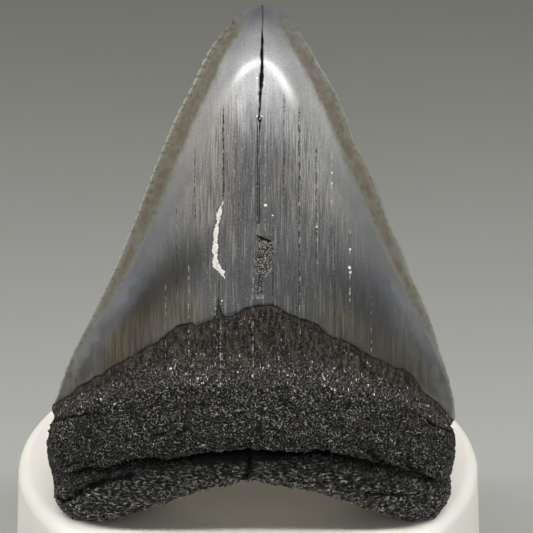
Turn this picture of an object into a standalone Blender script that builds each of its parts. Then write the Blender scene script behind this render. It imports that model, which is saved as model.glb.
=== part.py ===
"""Fossil megalodon tooth, standing on the two lobes of its root, on a plain round stand.

Units are metres with +Z up. The origin is the centre of the stand's underside. The tooth's
bulging lingual face looks towards -Y, and the tooth leans back, its tip towards +Y.

The tooth is one solid, lofted through closed growth lines. A growth line is numbered g:
0 is the underside of the root, 1 the top of the root, 2 the foot of the enamel, 3 the tip.
Along each line s runs from -1 on the left edge to +1 on the right edge.
"""
import math

import bmesh
import bpy
import numpy as np
from mathutils import Vector, noise

MM = 0.001

# Stand
STAND_RADIUS = 19.0 * MM
STAND_HEIGHT = 16.0 * MM
STAND_DRAFT = math.radians(2.5)     # the wall widens a little towards the base
STAND_RIM = 1.1 * MM                # rounding of the top edge
STAND_FOOT = 0.5 * MM               # small chamfer at the base
STAND_STEPS = 72
RIM_STEPS = 5

# Where the tooth stands
LEAN = math.radians(14.0)           # from upright, tip backwards
CONTACT_Y = -7.0 * MM               # the tooth's own plane meets the top of the stand here
GAP = 0.3 * MM                      # clearance between the lobes and the stand

# Growth lines
UNDERSIDE, ROOT_TOP, ENAMEL_FOOT, TIP = 0.0, 1.0, 2.0, 3.0
SERRATIONS = 42                     # along each cutting edge, 0.82 mm apart
SERRATION_DEPTH = 0.16              # mm, crest to valley
RIGHT_EDGE_WEAR = 0.4               # the right edge is worn smoother than the left
TIP_FADE = 0.06                     # in g: the serrations fade out at the tip
FACE_COLUMNS = 20                   # steps across one face
SIDE_CROWDING = ((0.0, 0.75), (1.0, 0.6), (1.5, 0.2), (3.0, 0.1))
CLEFT_CROWDING = ((0.0, 0.35), (0.5, 0.4), (1.0, 1.0), (3.0, 1.0))
ROOT_LINES = (0.0, 0.03, 0.08, 0.15, 0.22, 0.28, 0.325, 0.355, 0.38, 0.405, 0.45, 0.52,
              0.6, 0.68, 0.76, 0.84, 0.91, 0.96, 1.0)
BOURLETTE_LINES = (1.15, 1.4, 1.7, 1.96)

# Edges of the tooth seen face on, in mm: (g, across, up). Up is 0 at the resting plane.
LEFT_ROOT = ((0.0, -15.45, 0.45), (0.1, -15.65, 1.15), (0.35, -15.8, 2.8), (0.6, -15.95, 4.4),
             (0.8, -16.0, 5.6), (0.9, -15.9, 6.3), (1.0, -15.55, 6.85), (1.35, -15.8, 7.35),
             (2.0, -15.3, 8.7))
RIGHT_ROOT = ((0.0, 16.1, 0.4), (0.1, 16.3, 1.0), (0.29, 16.2, 2.2), (0.37, 16.5, 2.8),
              (0.7, 16.65, 4.8), (0.88, 16.6, 5.65), (1.0, 16.4, 6.15), (1.35, 16.75, 6.7),
              (2.0, 16.65, 8.0))
LEFT_CUTTING_EDGE = ((-15.3, 8.7), (-14.45, 11.05), (-12.5, 15.05), (-10.6, 19.0),
                     (-8.8, 23.4), (-7.25, 27.5), (-5.6, 31.4), (-4.3, 33.95), (-3.1, 36.5),
                     (-1.65, 38.55), (-0.65, 39.7), (0.25, 40.3), (0.8, 40.45))
RIGHT_CUTTING_EDGE = ((16.65, 8.0), (15.9, 11.05), (14.55, 15.05), (12.95, 19.0),
                      (11.15, 23.55), (9.5, 27.5), (7.85, 31.4), (6.65, 33.95), (5.2, 36.5),
                      (3.95, 38.45), (2.9, 39.7), (2.1, 40.3), (1.55, 40.45))

# Gap under the arched root, in mm above the stand: (s, height)
ARCH = ((-1.0, 0.9), (-0.955, 0.15), (-0.9, 0.0), (-0.76, 0.0), (-0.6, 0.75), (-0.3, 2.6),
        (-0.06, 3.55), (0.0, 3.75), (0.06, 3.6), (0.3, 2.75), (0.6, 1.1), (0.76, 0.2),
        (0.84, 0.0), (0.93, 0.0), (0.965, 0.25), (1.0, 0.9))

# Up the middle of each face, in mm: (g, value)
FRONT_MIDLINE_UP = ((1.0, 11.2), (2.0, 17.0), (3.0, 40.5))
BACK_MIDLINE_UP = ((1.0, 10.4), (2.0, 14.2), (3.0, 40.5))
FRONT_BULGE = ((0.0, 3.5), (0.03, 5.0), (0.08, 6.1), (0.15, 6.9), (0.22, 7.35), (0.28, 7.5),
               (0.325, 7.2), (0.355, 6.7), (0.38, 6.9), (0.405, 8.1), (0.45, 8.5), (0.55, 8.65),
               (0.7, 8.2), (0.85, 7.5), (1.0, 6.95), (1.15, 6.65), (1.5, 6.15), (1.96, 5.65),
               (2.0, 5.8), (2.15, 5.35), (2.36, 4.8), (2.57, 4.1), (2.745, 3.3), (2.83, 2.7),
               (2.915, 1.8), (2.957, 1.15), (2.985, 0.6), (3.0, 0.22))
BACK_BULGE = ((0.0, 2.9), (0.1, 3.0), (0.5, 2.7), (0.9, 2.2), (0.98, 1.85), (1.03, 1.9),
              (1.5, 1.5), (2.0, 1.25), (2.5, 0.9), (2.8, 0.6), (2.95, 0.35), (3.0, 0.2))
EDGE_FORWARD = ((0.0, 2.0), (0.8, 2.0), (1.0, 1.1), (1.2, 0.25), (1.5, 0.0), (3.0, 0.0))

# How full each cross-section is: depth follows (1 - |s|^power)^fall
FRONT_POWER = ((0.0, 2.8), (0.9, 2.8), (1.2, 2.3), (2.0, 2.0), (3.0, 2.0))
FRONT_FALL = ((0.0, 0.62), (0.9, 0.66), (1.2, 0.95), (2.0, 1.12), (3.0, 1.05))
BACK_POWER = ((0.0, 6.0), (0.9, 5.0), (1.2, 2.6), (3.0, 2.0))
BACK_FALL = ((0.0, 0.5), (0.9, 0.55), (1.2, 0.9), (3.0, 1.0))
LINE_POWER = ((1.0, 3.2), (2.0, 1.6), (3.0, 2.0))   # how far a growth line stays high

# Relief, in mm
CLEFT_DEPTH = 0.9                   # the cleft in the middle, from the groove to the arch
CLEFT_WIDTH = 0.03                  # in s, to each side
CLEFT_TOP = 0.37                    # the g where it ends under the groove's lip
CREASE_START = (-0.58, 0.31)        # (s, g) of the slanting crease on the left lobe
CREASE_END = (-0.95, 0.17)
CREASE_DEPTH = 0.5
CREASE_WIDTH = 0.03
GROOVE_LIFT = 0.4                   # the groove runs higher on the left lobe
GROOVE_LIFT_PLACE = (-0.65, 0.25)   # (s, reach)
LUMPS = ((3.2, 0.30, 0.0), (1.5, 0.18, 7.0))        # (wavelength, height, offset)
ENAMEL_FOOT_WAVE = (2.4, 0.35)      # (wavelength, height) of the uneven foot of the enamel
ENAMEL_FOOT_REACH = 0.05            # in g, above and below the foot
CHIPS = ((2.62, 0.03, 0.2), (2.42, 0.025, 0.15), (2.2, 0.02, 0.12))     # right edge: (g, reach, depth)


def curve(points, at):
    """A smooth curve through (position, value) points that never overshoots them."""
    knots, values = np.asarray(points, float).T
    steps = np.diff(knots)
    slopes = np.diff(values) / steps
    tangents = np.zeros_like(values)
    tangents[0], tangents[-1] = slopes[0], slopes[-1]
    for k in range(1, len(slopes)):
        before, after = slopes[k - 1], slopes[k]
        if before * after > 0.0:
            tangents[k] = 2.0 * before * after / (before + after)
    at = np.asarray(at, float)
    k = np.clip(np.searchsorted(knots, at) - 1, 0, len(steps) - 1)
    t = (at - knots[k]) / steps[k]
    rise = t * t * (3.0 - 2.0 * t)
    bend = t * (1.0 - t)
    return (values[k] + (values[k + 1] - values[k]) * rise
            + steps[k] * bend * ((1.0 - t) * tangents[k] - t * tangents[k + 1]))


def along(edge):
    """Give each point of a cutting edge its g, in proportion to the length of the edge."""
    points = np.asarray(edge)
    lengths = np.concatenate(([0.0], np.cumsum(np.linalg.norm(np.diff(points, axis=0), axis=1))))
    return [(ENAMEL_FOOT + reach / lengths[-1], across, up)
            for reach, (across, up) in zip(lengths, points)]


LEFT_EDGE = list(LEFT_ROOT[:-1]) + along(LEFT_CUTTING_EDGE)
RIGHT_EDGE = list(RIGHT_ROOT[:-1]) + along(RIGHT_CUTTING_EDGE)


def edge_point(edge, g):
    """Place (across, up) on one edge of the tooth."""
    return (float(curve([(k, across) for k, across, up in edge], g)),
            float(curve([(k, up) for k, across, up in edge], g)))


def chord(left, right, s):
    return left + (right - left) * (s + 1.0) / 2.0


def noise_at(places, wavelength, offset=0.0):
    """Smooth noise between about -1 and 1 at each of the places, which are in mm."""
    shift = Vector((offset, offset, offset))
    return np.array([noise.noise(Vector(place) / wavelength + shift) for place in places])


def upper_line(s, g, midline):
    """Height of a growth line on the crown: level with the edges at s = -1 and +1."""
    left, right = edge_point(LEFT_EDGE, g)[1], edge_point(RIGHT_EDGE, g)[1]
    rise = curve(midline, g) - (left + right) / 2.0
    return chord(left, right, s) + rise * (1.0 - np.abs(s) ** curve(LINE_POWER, g))


def root_line(s, g, midline):
    """Height of a growth line on the root, between the arched underside and the root's top."""
    forward = curve(EDGE_FORWARD, UNDERSIDE)
    bottom = (curve(ARCH, s) - forward * math.sin(LEAN)) / math.cos(LEAN)
    top = upper_line(s, ROOT_TOP, midline)
    spare = [edge_point(edge, g)[1] - (1.0 - g) * edge_point(edge, UNDERSIDE)[1]
             - g * edge_point(edge, ROOT_TOP)[1] for edge in (LEFT_EDGE, RIGHT_EDGE)]
    return (1.0 - g) * bottom + g * top + chord(spare[0], spare[1], s)


def crease(s, g):
    """Depth of the slanting crease on the left lobe, found by its distance from a line."""
    run_s, run_g = CREASE_END[0] - CREASE_START[0], CREASE_END[1] - CREASE_START[1]
    from_s, from_g = s - CREASE_START[0], g - CREASE_START[1]
    t = np.clip((from_s * run_s + from_g * run_g) / (run_s ** 2 + run_g ** 2), 0.0, 1.0)
    distance = np.hypot(from_s - t * run_s, from_g - t * run_g)
    return CREASE_DEPTH * np.exp(-(distance / CREASE_WIDTH) ** 2)


def root_relief(s, g, places, front):
    """How far the lumps, the crease and the cleft push the root's surface outwards."""
    relief = sum(height * noise_at(places, wavelength, offset)
                 for wavelength, height, offset in LUMPS) * math.sqrt(math.sin(math.pi * g))
    if front:
        relief -= crease(s, g)
        if g < CLEFT_TOP:
            relief -= CLEFT_DEPTH * np.exp(-(s / CLEFT_WIDTH) ** 2)
    return relief


def face_line(s, g, front):
    """Points across one face on growth line g, as (across, up, forward) in mm."""
    across = chord(edge_point(LEFT_EDGE, g)[0], edge_point(RIGHT_EDGE, g)[0], s)
    midline = FRONT_MIDLINE_UP if front else BACK_MIDLINE_UP
    up = root_line(s, g, midline) if g < ROOT_TOP else upper_line(s, g, midline)
    rim = float(curve(EDGE_FORWARD, g))
    if front:
        fullness = (1.0 - np.abs(s) ** curve(FRONT_POWER, g)) ** curve(FRONT_FALL, g)
        forward = rim + (curve(FRONT_BULGE, g) - rim) * fullness
        near_foot = math.exp(-((g - ENAMEL_FOOT) / ENAMEL_FOOT_REACH) ** 2)
        wavelength, height = ENAMEL_FOOT_WAVE
        wave = noise_at([(x, 0.0, 0.0) for x in across], wavelength, 0.3)
        up = up + height * wave * near_foot * (1.0 - s ** 4)
    else:
        fullness = (1.0 - np.abs(s) ** curve(BACK_POWER, g)) ** curve(BACK_FALL, g)
        forward = rim - (curve(BACK_BULGE, g) + rim) * fullness
    if g < ROOT_TOP:
        if front:
            middle, reach = GROOVE_LIFT_PLACE
            up = up + GROOVE_LIFT * math.sin(math.pi * g) * np.exp(-((s - middle) / reach) ** 2)
        up = up - (forward - rim) * math.tan(LEAN) * (1.0 - g) ** 2
        relief = root_relief(s, g, np.stack((across, up, forward), axis=1), front)
        forward = forward + relief * fullness * (1.0 if front else -1.0)
        across = across + relief * (1.0 - fullness) * np.sign(s)
    return across, up, forward


def to_world(across, up, forward):
    """From the tooth's own millimetres to metres in the part's frame."""
    return (across * MM,
            CONTACT_Y + (up * math.sin(LEAN) - forward * math.cos(LEAN)) * MM,
            STAND_HEIGHT + GAP + (up * math.cos(LEAN) + forward * math.sin(LEAN)) * MM)


def edge_offset(k, g, wear):
    """How far cutting-edge point k reaches out: odd points are crests, even ones valleys."""
    depth = SERRATION_DEPTH * wear * min(1.0, (TIP - g) / TIP_FADE)
    return depth / 2.0 if k % 2 else -depth / 2.0


def chips(g):
    return sum(depth * math.exp(-((g - place) / reach) ** 2) for place, reach, depth in CHIPS)


def columns(g):
    """The s of each column: closer together at the sides of the root, and beside the cleft."""
    even = np.linspace(-1.0, 1.0, FACE_COLUMNS + 1)
    rounded = np.sin(even * math.pi / 2.0)
    places = even + (rounded - even) * curve(SIDE_CROWDING, g)
    middle = FACE_COLUMNS // 2
    places[[middle - 1, middle + 1]] *= curve(CLEFT_CROWDING, g)
    return places


def growth_ring(g, k):
    """Closed ring of points on growth line g, front first, then the back the other way."""
    s = columns(g)
    across, up, forward = face_line(s, g, True)
    if g >= ENAMEL_FOOT:
        across[0] -= edge_offset(k, g, 1.0)
        across[-1] += edge_offset(k, g, RIGHT_EDGE_WEAR) - chips(g)
    back = [values[-2:0:-1] for values in face_line(s, g, False)]
    ring = [np.concatenate(pair) for pair in zip((across, up, forward), back)]
    return list(zip(*to_world(*ring)))


def tooth_mesh():
    crown_lines = [ENAMEL_FOOT + k / (2.0 * SERRATIONS) for k in range(2 * SERRATIONS + 1)]
    lines = [(g, 0) for g in ROOT_LINES + BOURLETTE_LINES]
    lines += [(g, k) for k, g in enumerate(crown_lines)]
    mesh = bmesh.new()
    rings = [[mesh.verts.new(place) for place in growth_ring(g, k)] for g, k in lines]
    for lower, upper in zip(rings, rings[1:]):
        for i in range(len(lower)):
            j = (i + 1) % len(lower)
            mesh.faces.new((lower[i], lower[j], upper[j], upper[i]))
    close_end(mesh, rings[0], facing_down=True)
    close_end(mesh, rings[-1], facing_down=False)
    bmesh.ops.triangulate(mesh, faces=mesh.faces[:])
    bmesh.ops.recalc_face_normals(mesh, faces=mesh.faces[:])
    data = bpy.data.meshes.new("tooth")
    mesh.to_mesh(data)
    mesh.free()
    return data


def close_end(mesh, ring, facing_down):
    """Fill a ring with strips between its front and its back."""
    count = len(ring)
    for i in range(FACE_COLUMNS):
        corners = [ring[i], ring[i + 1], ring[-i - 1], ring[-i % count]]
        corners = list(dict.fromkeys(corners))
        if facing_down:
            corners.reverse()
        mesh.faces.new(corners)


def material(name, colour, roughness):
    finish = bpy.data.materials.new(name)
    finish.use_nodes = True
    shader = finish.node_tree.nodes["Principled BSDF"]
    shader.inputs["Base Color"].default_value = (*colour, 1.0)
    shader.inputs["Roughness"].default_value = roughness
    shader.inputs["Metallic"].default_value = 0.0
    finish.diffuse_color = (*colour, 1.0)
    return finish


def make_tooth(collection):
    data = tooth_mesh()
    tooth = bpy.data.objects.new("tooth", data)
    collection.objects.link(tooth)
    data.shade_smooth()
    data.set_sharp_from_angle(angle=math.radians(40.0))
    data.materials.append(material("fossil", (0.10, 0.10, 0.105), 0.45))
    return tooth


def stand_profile():
    """Half section of the stand, from the middle of its top, down the outside, to its base."""
    points = [(0.0, STAND_HEIGHT)]
    for k in range(RIM_STEPS + 1):
        turn = math.radians(90.0) * k / RIM_STEPS
        points.append((STAND_RADIUS - STAND_RIM * (1.0 - math.sin(turn)),
                       STAND_HEIGHT - STAND_RIM * (1.0 - math.cos(turn))))
    base_radius = STAND_RADIUS + (STAND_HEIGHT - STAND_RIM) * math.tan(STAND_DRAFT)
    points.append((base_radius, STAND_FOOT))
    points.append((base_radius - STAND_FOOT, 0.0))
    points.append((0.0, 0.0))
    return points


def make_stand(collection):
    data = bpy.data.meshes.new("stand")
    points = stand_profile()
    edges = [(k, k + 1) for k in range(len(points) - 1)]
    data.from_pydata([(radius, 0.0, height) for radius, height in points], edges, [])
    stand = bpy.data.objects.new("stand", data)
    collection.objects.link(stand)
    turn = stand.modifiers.new("turn", "SCREW")
    turn.axis = "Z"
    turn.angle = math.tau
    turn.steps = STAND_STEPS
    turn.render_steps = STAND_STEPS
    turn.use_merge_vertices = True
    turn.merge_threshold = 0.00001
    turn.use_smooth_shade = True
    data.materials.append(material("white_stand", (0.80, 0.79, 0.75), 0.4))
    return stand


def main():
    for old in list(bpy.data.objects):
        bpy.data.objects.remove(old, do_unlink=True)
    collection = bpy.data.collections.new("megalodon_tooth")
    bpy.context.scene.collection.children.link(collection)
    make_stand(collection)
    make_tooth(collection)


main()
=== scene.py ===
# %% [markdown]
# # A fossil megalodon tooth on a round stand
#
# The tooth stands on the two lobes of its root, on a plain white display stand. A tooth grows
# from its tip down: each new layer is laid on the foot of the last one, so its surface can be
# drawn as a stack of closed growth lines. That is how it is built here. A growth line is
# numbered g: 0 is the underside of the root, 1 the root's top, 2 the foot of the enamel and
# 3 the tip. Along each line s runs from -1 at the left edge to +1 at the right edge. This
# script repeats the solid model's curves, and adds to them what a solid with few faces can't
# hold: grain, wrinkles, cracks, serrations and the finish of each surface.

# %% Load the frame
import math
import bpy
import numpy as np
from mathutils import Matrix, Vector, noise


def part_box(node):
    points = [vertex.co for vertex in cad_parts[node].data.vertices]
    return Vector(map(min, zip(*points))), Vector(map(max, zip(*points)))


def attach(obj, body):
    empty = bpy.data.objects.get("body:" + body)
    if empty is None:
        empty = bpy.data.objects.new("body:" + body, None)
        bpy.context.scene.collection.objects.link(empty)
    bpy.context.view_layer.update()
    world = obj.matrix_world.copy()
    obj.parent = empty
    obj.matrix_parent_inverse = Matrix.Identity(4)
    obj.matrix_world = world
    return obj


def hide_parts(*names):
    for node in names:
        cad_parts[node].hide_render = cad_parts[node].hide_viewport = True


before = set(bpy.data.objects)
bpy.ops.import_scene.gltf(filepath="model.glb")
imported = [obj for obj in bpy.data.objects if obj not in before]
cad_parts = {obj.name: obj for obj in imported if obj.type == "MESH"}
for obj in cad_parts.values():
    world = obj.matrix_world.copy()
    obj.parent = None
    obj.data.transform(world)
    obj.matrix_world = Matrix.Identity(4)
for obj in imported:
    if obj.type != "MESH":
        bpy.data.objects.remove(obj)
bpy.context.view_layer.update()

MM = 0.001

# %% [markdown]
# ## Curves
#
# Every shape of the tooth is a value that changes smoothly along something: the edge's place
# with g, the thickness with s. A table of a few points and one smooth curve through them says
# each. The curve never overshoots its points, so a flat stretch stays flat.

# %% A smooth curve through points
def curve(points, at):
    knots, values = np.asarray(points, float).T
    steps = np.diff(knots)
    slopes = np.diff(values) / steps
    tangents = np.zeros_like(values)
    tangents[0], tangents[-1] = slopes[0], slopes[-1]
    for k in range(1, len(slopes)):
        before, after = slopes[k - 1], slopes[k]
        if before * after > 0.0:
            tangents[k] = 2.0 * before * after / (before + after)
    at = np.asarray(at, float)
    k = np.clip(np.searchsorted(knots, at) - 1, 0, len(steps) - 1)
    t = (at - knots[k]) / steps[k]
    rise = t * t * (3.0 - 2.0 * t)
    bend = t * (1.0 - t)
    return (values[k] + (values[k + 1] - values[k]) * rise
            + steps[k] * bend * ((1.0 - t) * tangents[k] - t * tangents[k + 1]))


def between(low, high, value):
    """0 below low, 1 above high and a smooth step from one to the other."""
    t = np.clip((value - low) / (high - low), 0.0, 1.0)
    return t * t * (3.0 - 2.0 * t)


def bell(value, width):
    return np.exp(-(value / width) ** 2)


def noise_at(places, size, offset=0.0):
    """Smooth noise between about -1 and 1 at places in mm, with bumps of about that size."""
    flat = np.asarray(places, float).reshape(-1, 3) / size + offset
    values = np.array([noise.noise(Vector(place)) for place in flat])
    return values.reshape(np.shape(places)[:-1])

# %% The curves of the tooth, in mm
UNDERSIDE, ROOT_TOP, ENAMEL_FOOT, TIP = 0.0, 1.0, 2.0, 3.0
LEAN = math.radians(14.0)           # from upright, tip backwards
CONTACT_Y = -7.0                    # the tooth's own plane meets the top of the stand here
STAND_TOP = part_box("stand")[1][2] / MM
GAP = 0.3                           # the solid lobes' clearance, which the grain closes here

LEFT_ROOT = ((0, -15.45, 0.45), (0.1, -15.65, 1.15), (0.35, -15.8, 2.8), (0.6, -15.95, 4.4),
             (0.8, -16, 5.6), (0.9, -15.9, 6.3), (1, -15.55, 6.85), (1.35, -15.8, 7.35))
RIGHT_ROOT = ((0, 16.1, 0.4), (0.1, 16.3, 1), (0.29, 16.2, 2.2), (0.37, 16.5, 2.8),
              (0.7, 16.65, 4.8), (0.88, 16.6, 5.65), (1, 16.4, 6.15), (1.35, 16.75, 6.7))
LEFT_CUTTING_EDGE = ((-15.3, 8.7), (-14.45, 11.05), (-12.5, 15.05), (-10.6, 19),
                     (-8.8, 23.4), (-7.25, 27.5), (-5.6, 31.4), (-4.3, 33.95), (-3.1, 36.5),
                     (-1.65, 38.5), (-0.65, 39.6), (0.25, 40.18), (0.8, 40.33))
RIGHT_CUTTING_EDGE = ((16.65, 8), (15.9, 11.05), (14.55, 15.05), (12.95, 19),
                      (11.15, 23.55), (9.5, 27.5), (7.85, 31.4), (6.65, 33.95), (5.2, 36.5),
                      (3.95, 38.4), (2.9, 39.6), (2.1, 40.18), (1.55, 40.33))
ARCH = ((-1, 0.75), (-0.955, -0.1), (-0.9, -0.27), (-0.76, -0.27), (-0.6, 0.6), (-0.3, 2.6),
        (-0.06, 3.55), (0, 3.75), (0.06, 3.6), (0.3, 2.75), (0.6, 1), (0.76, 0),
        (0.84, -0.27), (0.93, -0.27), (0.965, 0.1), (1, 0.75))
FRONT_MIDLINE_UP = ((1, 11.2), (2, 17), (3, 40.37))
BACK_MIDLINE_UP = ((1, 10.4), (2, 14.2), (3, 40.37))
FRONT_BULGE = ((0, 3.5), (0.03, 5), (0.08, 6.1), (0.15, 6.9), (0.22, 7.35), (0.29, 7.55),
               (0.32, 7.3), (0.345, 6.3), (0.365, 5.9), (0.382, 6.5), (0.394, 8),
               (0.42, 8.4), (0.47, 8.6), (0.55, 8.65), (0.7, 8.2), (0.85, 7.5), (1, 6.95),
               (1.15, 6.65), (1.5, 6.15), (2, 5.7), (2.15, 5.4), (2.36, 4.8), (2.57, 4.1),
               (2.745, 3.3), (2.83, 2.7), (2.915, 1.8), (2.957, 1.15), (2.985, 0.6),
               (3, 0.22))
BACK_BULGE = ((0, 2.9), (0.1, 3), (0.5, 2.7), (0.9, 2.2), (0.98, 1.85), (1.03, 1.9),
              (1.5, 1.5), (2, 1.25), (2.5, 0.9), (2.8, 0.6), (2.95, 0.35), (3, 0.2))
EDGE_FORWARD = ((0, 2), (0.8, 2), (1, 1.1), (1.2, 0.25), (1.5, 0), (3, 0))
FRONT_POWER = ((0, 2.8), (0.9, 2.8), (1.2, 2.3), (2, 2), (3, 2))
FRONT_FALL = ((0, 0.62), (0.9, 0.66), (1.2, 0.95), (2, 1.12), (3, 1.05))
BACK_POWER = ((0, 6), (0.9, 5), (1.2, 2.6), (3, 2))
BACK_FALL = ((0, 0.5), (0.9, 0.55), (1.2, 0.9), (3, 1))
LINE_POWER = ((1, 3.2), (2, 1.6), (3, 2))


def along(edge):
    """Give each point of a cutting edge its g, in proportion to the length of the edge."""
    points = np.asarray(edge)
    lengths = np.concatenate(([0.0], np.cumsum(np.linalg.norm(np.diff(points, axis=0), axis=1))))
    return [(ENAMEL_FOOT + reach / lengths[-1], across, up)
            for reach, (across, up) in zip(lengths, points)]


def column(table, k):
    return [(row[0], row[k]) for row in table]


LEFT_EDGE = list(LEFT_ROOT) + along(LEFT_CUTTING_EDGE)
RIGHT_EDGE = list(RIGHT_ROOT) + along(RIGHT_CUTTING_EDGE)

# %% [markdown]
# ## The main form
#
# Two functions give the tooth's front and back at any (s, g), as across, up and forward in the
# tooth's own plane. Below the root's top, a point's height is blended between the arched
# underside and the top line, so the growth lines fan out evenly over the root's two lobes.

# %% Heights and depths of the two faces
def chord(left, right, s):
    return left + (right - left) * (s + 1.0) / 2.0


def upper_line(s, g, midline):
    left, right = curve(column(LEFT_EDGE, 2), g), curve(column(RIGHT_EDGE, 2), g)
    rise = curve(midline, g) - (left + right) / 2.0
    return chord(left, right, s) + rise * (1.0 - np.abs(s) ** curve(LINE_POWER, g))


def root_line(s, g, midline):
    forward = curve(EDGE_FORWARD, UNDERSIDE)
    bottom = (curve(ARCH, s) - forward * math.sin(LEAN)) / math.cos(LEAN)
    top = upper_line(s, ROOT_TOP, midline)
    spare = [curve(column(edge, 2), g) - (1.0 - g) * curve(column(edge, 2), UNDERSIDE)
             - g * curve(column(edge, 2), ROOT_TOP) for edge in (LEFT_EDGE, RIGHT_EDGE)]
    return (1.0 - g) * bottom + g * top + chord(spare[0], spare[1], s)


def fullness(s, g, front):
    power, fall = (FRONT_POWER, FRONT_FALL) if front else (BACK_POWER, BACK_FALL)
    return np.clip(1.0 - np.abs(s) ** curve(power, g), 0.0, 1.0) ** curve(fall, g)

# %% [markdown]
# ## Finer forms of the root
#
# A deep groove crosses the root, under an overhanging lip, and a short cleft runs from it down
# to the arch. The root's skin is also creased where it folds round each lobe. Each crease is a
# path of a few (s, g) points with a depth and a width, and the surface sinks by its distance
# from the path. This is quicker and easier to adjust than carving the mesh by hand.

# %% Groove, cleft and creases
GROOVE = ((-1, 0.43), (-0.8, 0.456), (-0.69, 0.437), (-0.59, 0.449), (-0.5, 0.432),
          (-0.4, 0.392), (-0.29, 0.396), (-0.18, 0.394), (-0.02, 0.382), (0.1, 0.394),
          (0.23, 0.401), (0.33, 0.452), (0.44, 0.457), (0.57, 0.45), (0.7, 0.458),
          (0.84, 0.438), (0.98, 0.33), (1, 0.32))
GROOVE_PLACE = 0.365                # the g where FRONT_BULGE has the groove
GROOVE_FILL = 0.9                   # mm, how much shallower it gets towards the sides
GROOVE_LIFT, GROOVE_LIFT_S, GROOVE_LIFT_REACH = 0.4, -0.65, 0.25
LUMPS = ((3.2, 0.30, 0), (1.5, 0.18, 7))        # (size, height, offset)
CLEFT = (((-0.02, 0.4), (0, 0.27), (-0.02, 0.15), (-0.06, 0.05), (-0.1, -0.05)), 1.1, 0.27)
CREASES = (                         # (path, depth, width)
    (((-0.59, 0.339), (-0.744, 0.345), (-0.828, 0.312), (-0.969, 0.138)), 0.6, 0.26),
    (((-1.02, 0.975), (-0.87, 0.912), (-0.747, 0.871)), 0.35, 0.16),
    (((0.886, 0.928), (1.02, 0.925)), 0.35, 0.16),
    (((0.571, 0.538), (0.6, 0.512), (0.664, 0.469)), 0.35, 0.17),
    (((0.767, 0.595), (0.771, 0.501), (0.939, 0.389)), 0.4, 0.2),
    (((0.574, 0.212), (0.65, 0.235), (0.75, 0.275)), 0.35, 0.15),
    (((-0.93, 0.5), (-0.84, 0.53), (-0.76, 0.52)), 0.22, 0.14),
    (((-0.46, 0.62), (-0.38, 0.6), (-0.3, 0.63)), 0.15, 0.12),
)
ROOT_WIDE, ROOT_HIGH = 16, 11   # mm for one unit of s and of g on the root


def distance_to(path, x, y):
    """Distance of each place (x, y) from a path of points."""
    nearest = np.full(np.shape(x), 1e9)
    for (x0, y0), (x1, y1) in zip(path, path[1:]):
        run_x, run_y = x1 - x0, y1 - y0
        t = np.clip(((x - x0) * run_x + (y - y0) * run_y) / (run_x ** 2 + run_y ** 2), 0, 1)
        nearest = np.minimum(nearest, np.hypot(x - x0 - t * run_x, y - y0 - t * run_y))
    return nearest


def groove_shift(s, g):
    """The g at which to read FRONT_BULGE, so that its groove follows the GROOVE path."""
    path = curve(GROOVE, s)
    below = g * GROOVE_PLACE / path
    above = GROOVE_PLACE + (g - path) * (ROOT_TOP - GROOVE_PLACE) / (ROOT_TOP - path)
    return np.where(g >= ROOT_TOP, g, np.where(g < path, below, above))


def root_relief(s, g, places, front):
    """Depth in mm of the root's forms, and a mask of creases, cleft and groove for painted
    shade.
    """
    relief = sum(height * noise_at(places, size, offset) for size, height, offset in LUMPS)
    relief = relief * np.sqrt(np.clip(np.sin(math.pi * np.clip(g, 0, 1)), 0, 1))
    hollow_painted_shade = np.zeros_like(relief)
    if front:
        wander = 0.12 * noise_at(places, 0.7, 3.0)
        # the creases and the cleft also mark painted shade in the mask
        for path, depth, width in (*CREASES, CLEFT):
            ragged = (0.4 if path is CLEFT[0] else 1.0) * wander
            away = distance_to(np.multiply(path, (ROOT_WIDE, ROOT_HIGH)),
                               s * ROOT_WIDE, g * ROOT_HIGH)
            fold = bell(away + ragged, width)
            relief, hollow_painted_shade = relief - depth * fold, np.maximum(hollow_painted_shade, fold)
        # the floor of the groove under the lip, marked for a painted shadow
        above = (g - curve(GROOVE, s)) * ROOT_HIGH + wander
        deep = 0.8 * bell(s, 0.24)
        floor = between(-0.35 - deep, -0.1 - deep, above) * between(0.34, 0.1, above)
        hollow_painted_shade = np.maximum(hollow_painted_shade, floor * between(0.95, 0.55, np.abs(s + 0.1)))
    return relief, hollow_painted_shade

# %% [markdown]
# ## Finer forms of the crown
#
# The enamel ends in a jagged line and stands a little proud of the dark collar under it. A
# crack runs down from the tip, open and chipped at the top and thin below, and a patch of
# enamel beside it has come off. These are forms, because light falls into them; the hair-thin
# cracks are left to the material.

# %% Enamel foot, crack, patch and worn edge
FRONT_FOOT = ((-16.5, 6.9), (-15.13, 8.09), (-13.79, 9.33), (-12.11, 10.54), (-10.74, 11.55),
              (-9.09, 12.78), (-6.71, 14.29), (-4.63, 15.7), (-3.27, 15.85), (-2.55, 16.2),
              (-2.25, 17.45), (-1.9, 16.45), (0.38, 17.18), (1.93, 17.4), (3.37, 16.52),
              (5.07, 15.84), (6.41, 14.8), (8.61, 13.53), (10.79, 12.13), (13.22, 10.64),
              (13.98, 9.35), (15.45, 7.97), (17.2, 5.8))
BACK_FOOT = ((-16.5, 6.6), (-15, 7.6), (-9, 9.6), (-3, 11), (0.6, 11.6), (4, 11.1),
             (10, 9.2), (15.5, 7.2), (17, 6))
FOOT_WAVES = ((1.7, 0.22, 0), (0.6, 0.16, 5), (0.25, 0.06, 9))    # (size, height, offset)
ENAMEL_STEP = 0.13                  # mm that the enamel stands proud of the collar
CRACK_PATH = ((17, 0.95), (23, 0.98), (31.8, 0.97), (33.8, 1.05), (36, 1.19), (40.5, 1.2))
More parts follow.
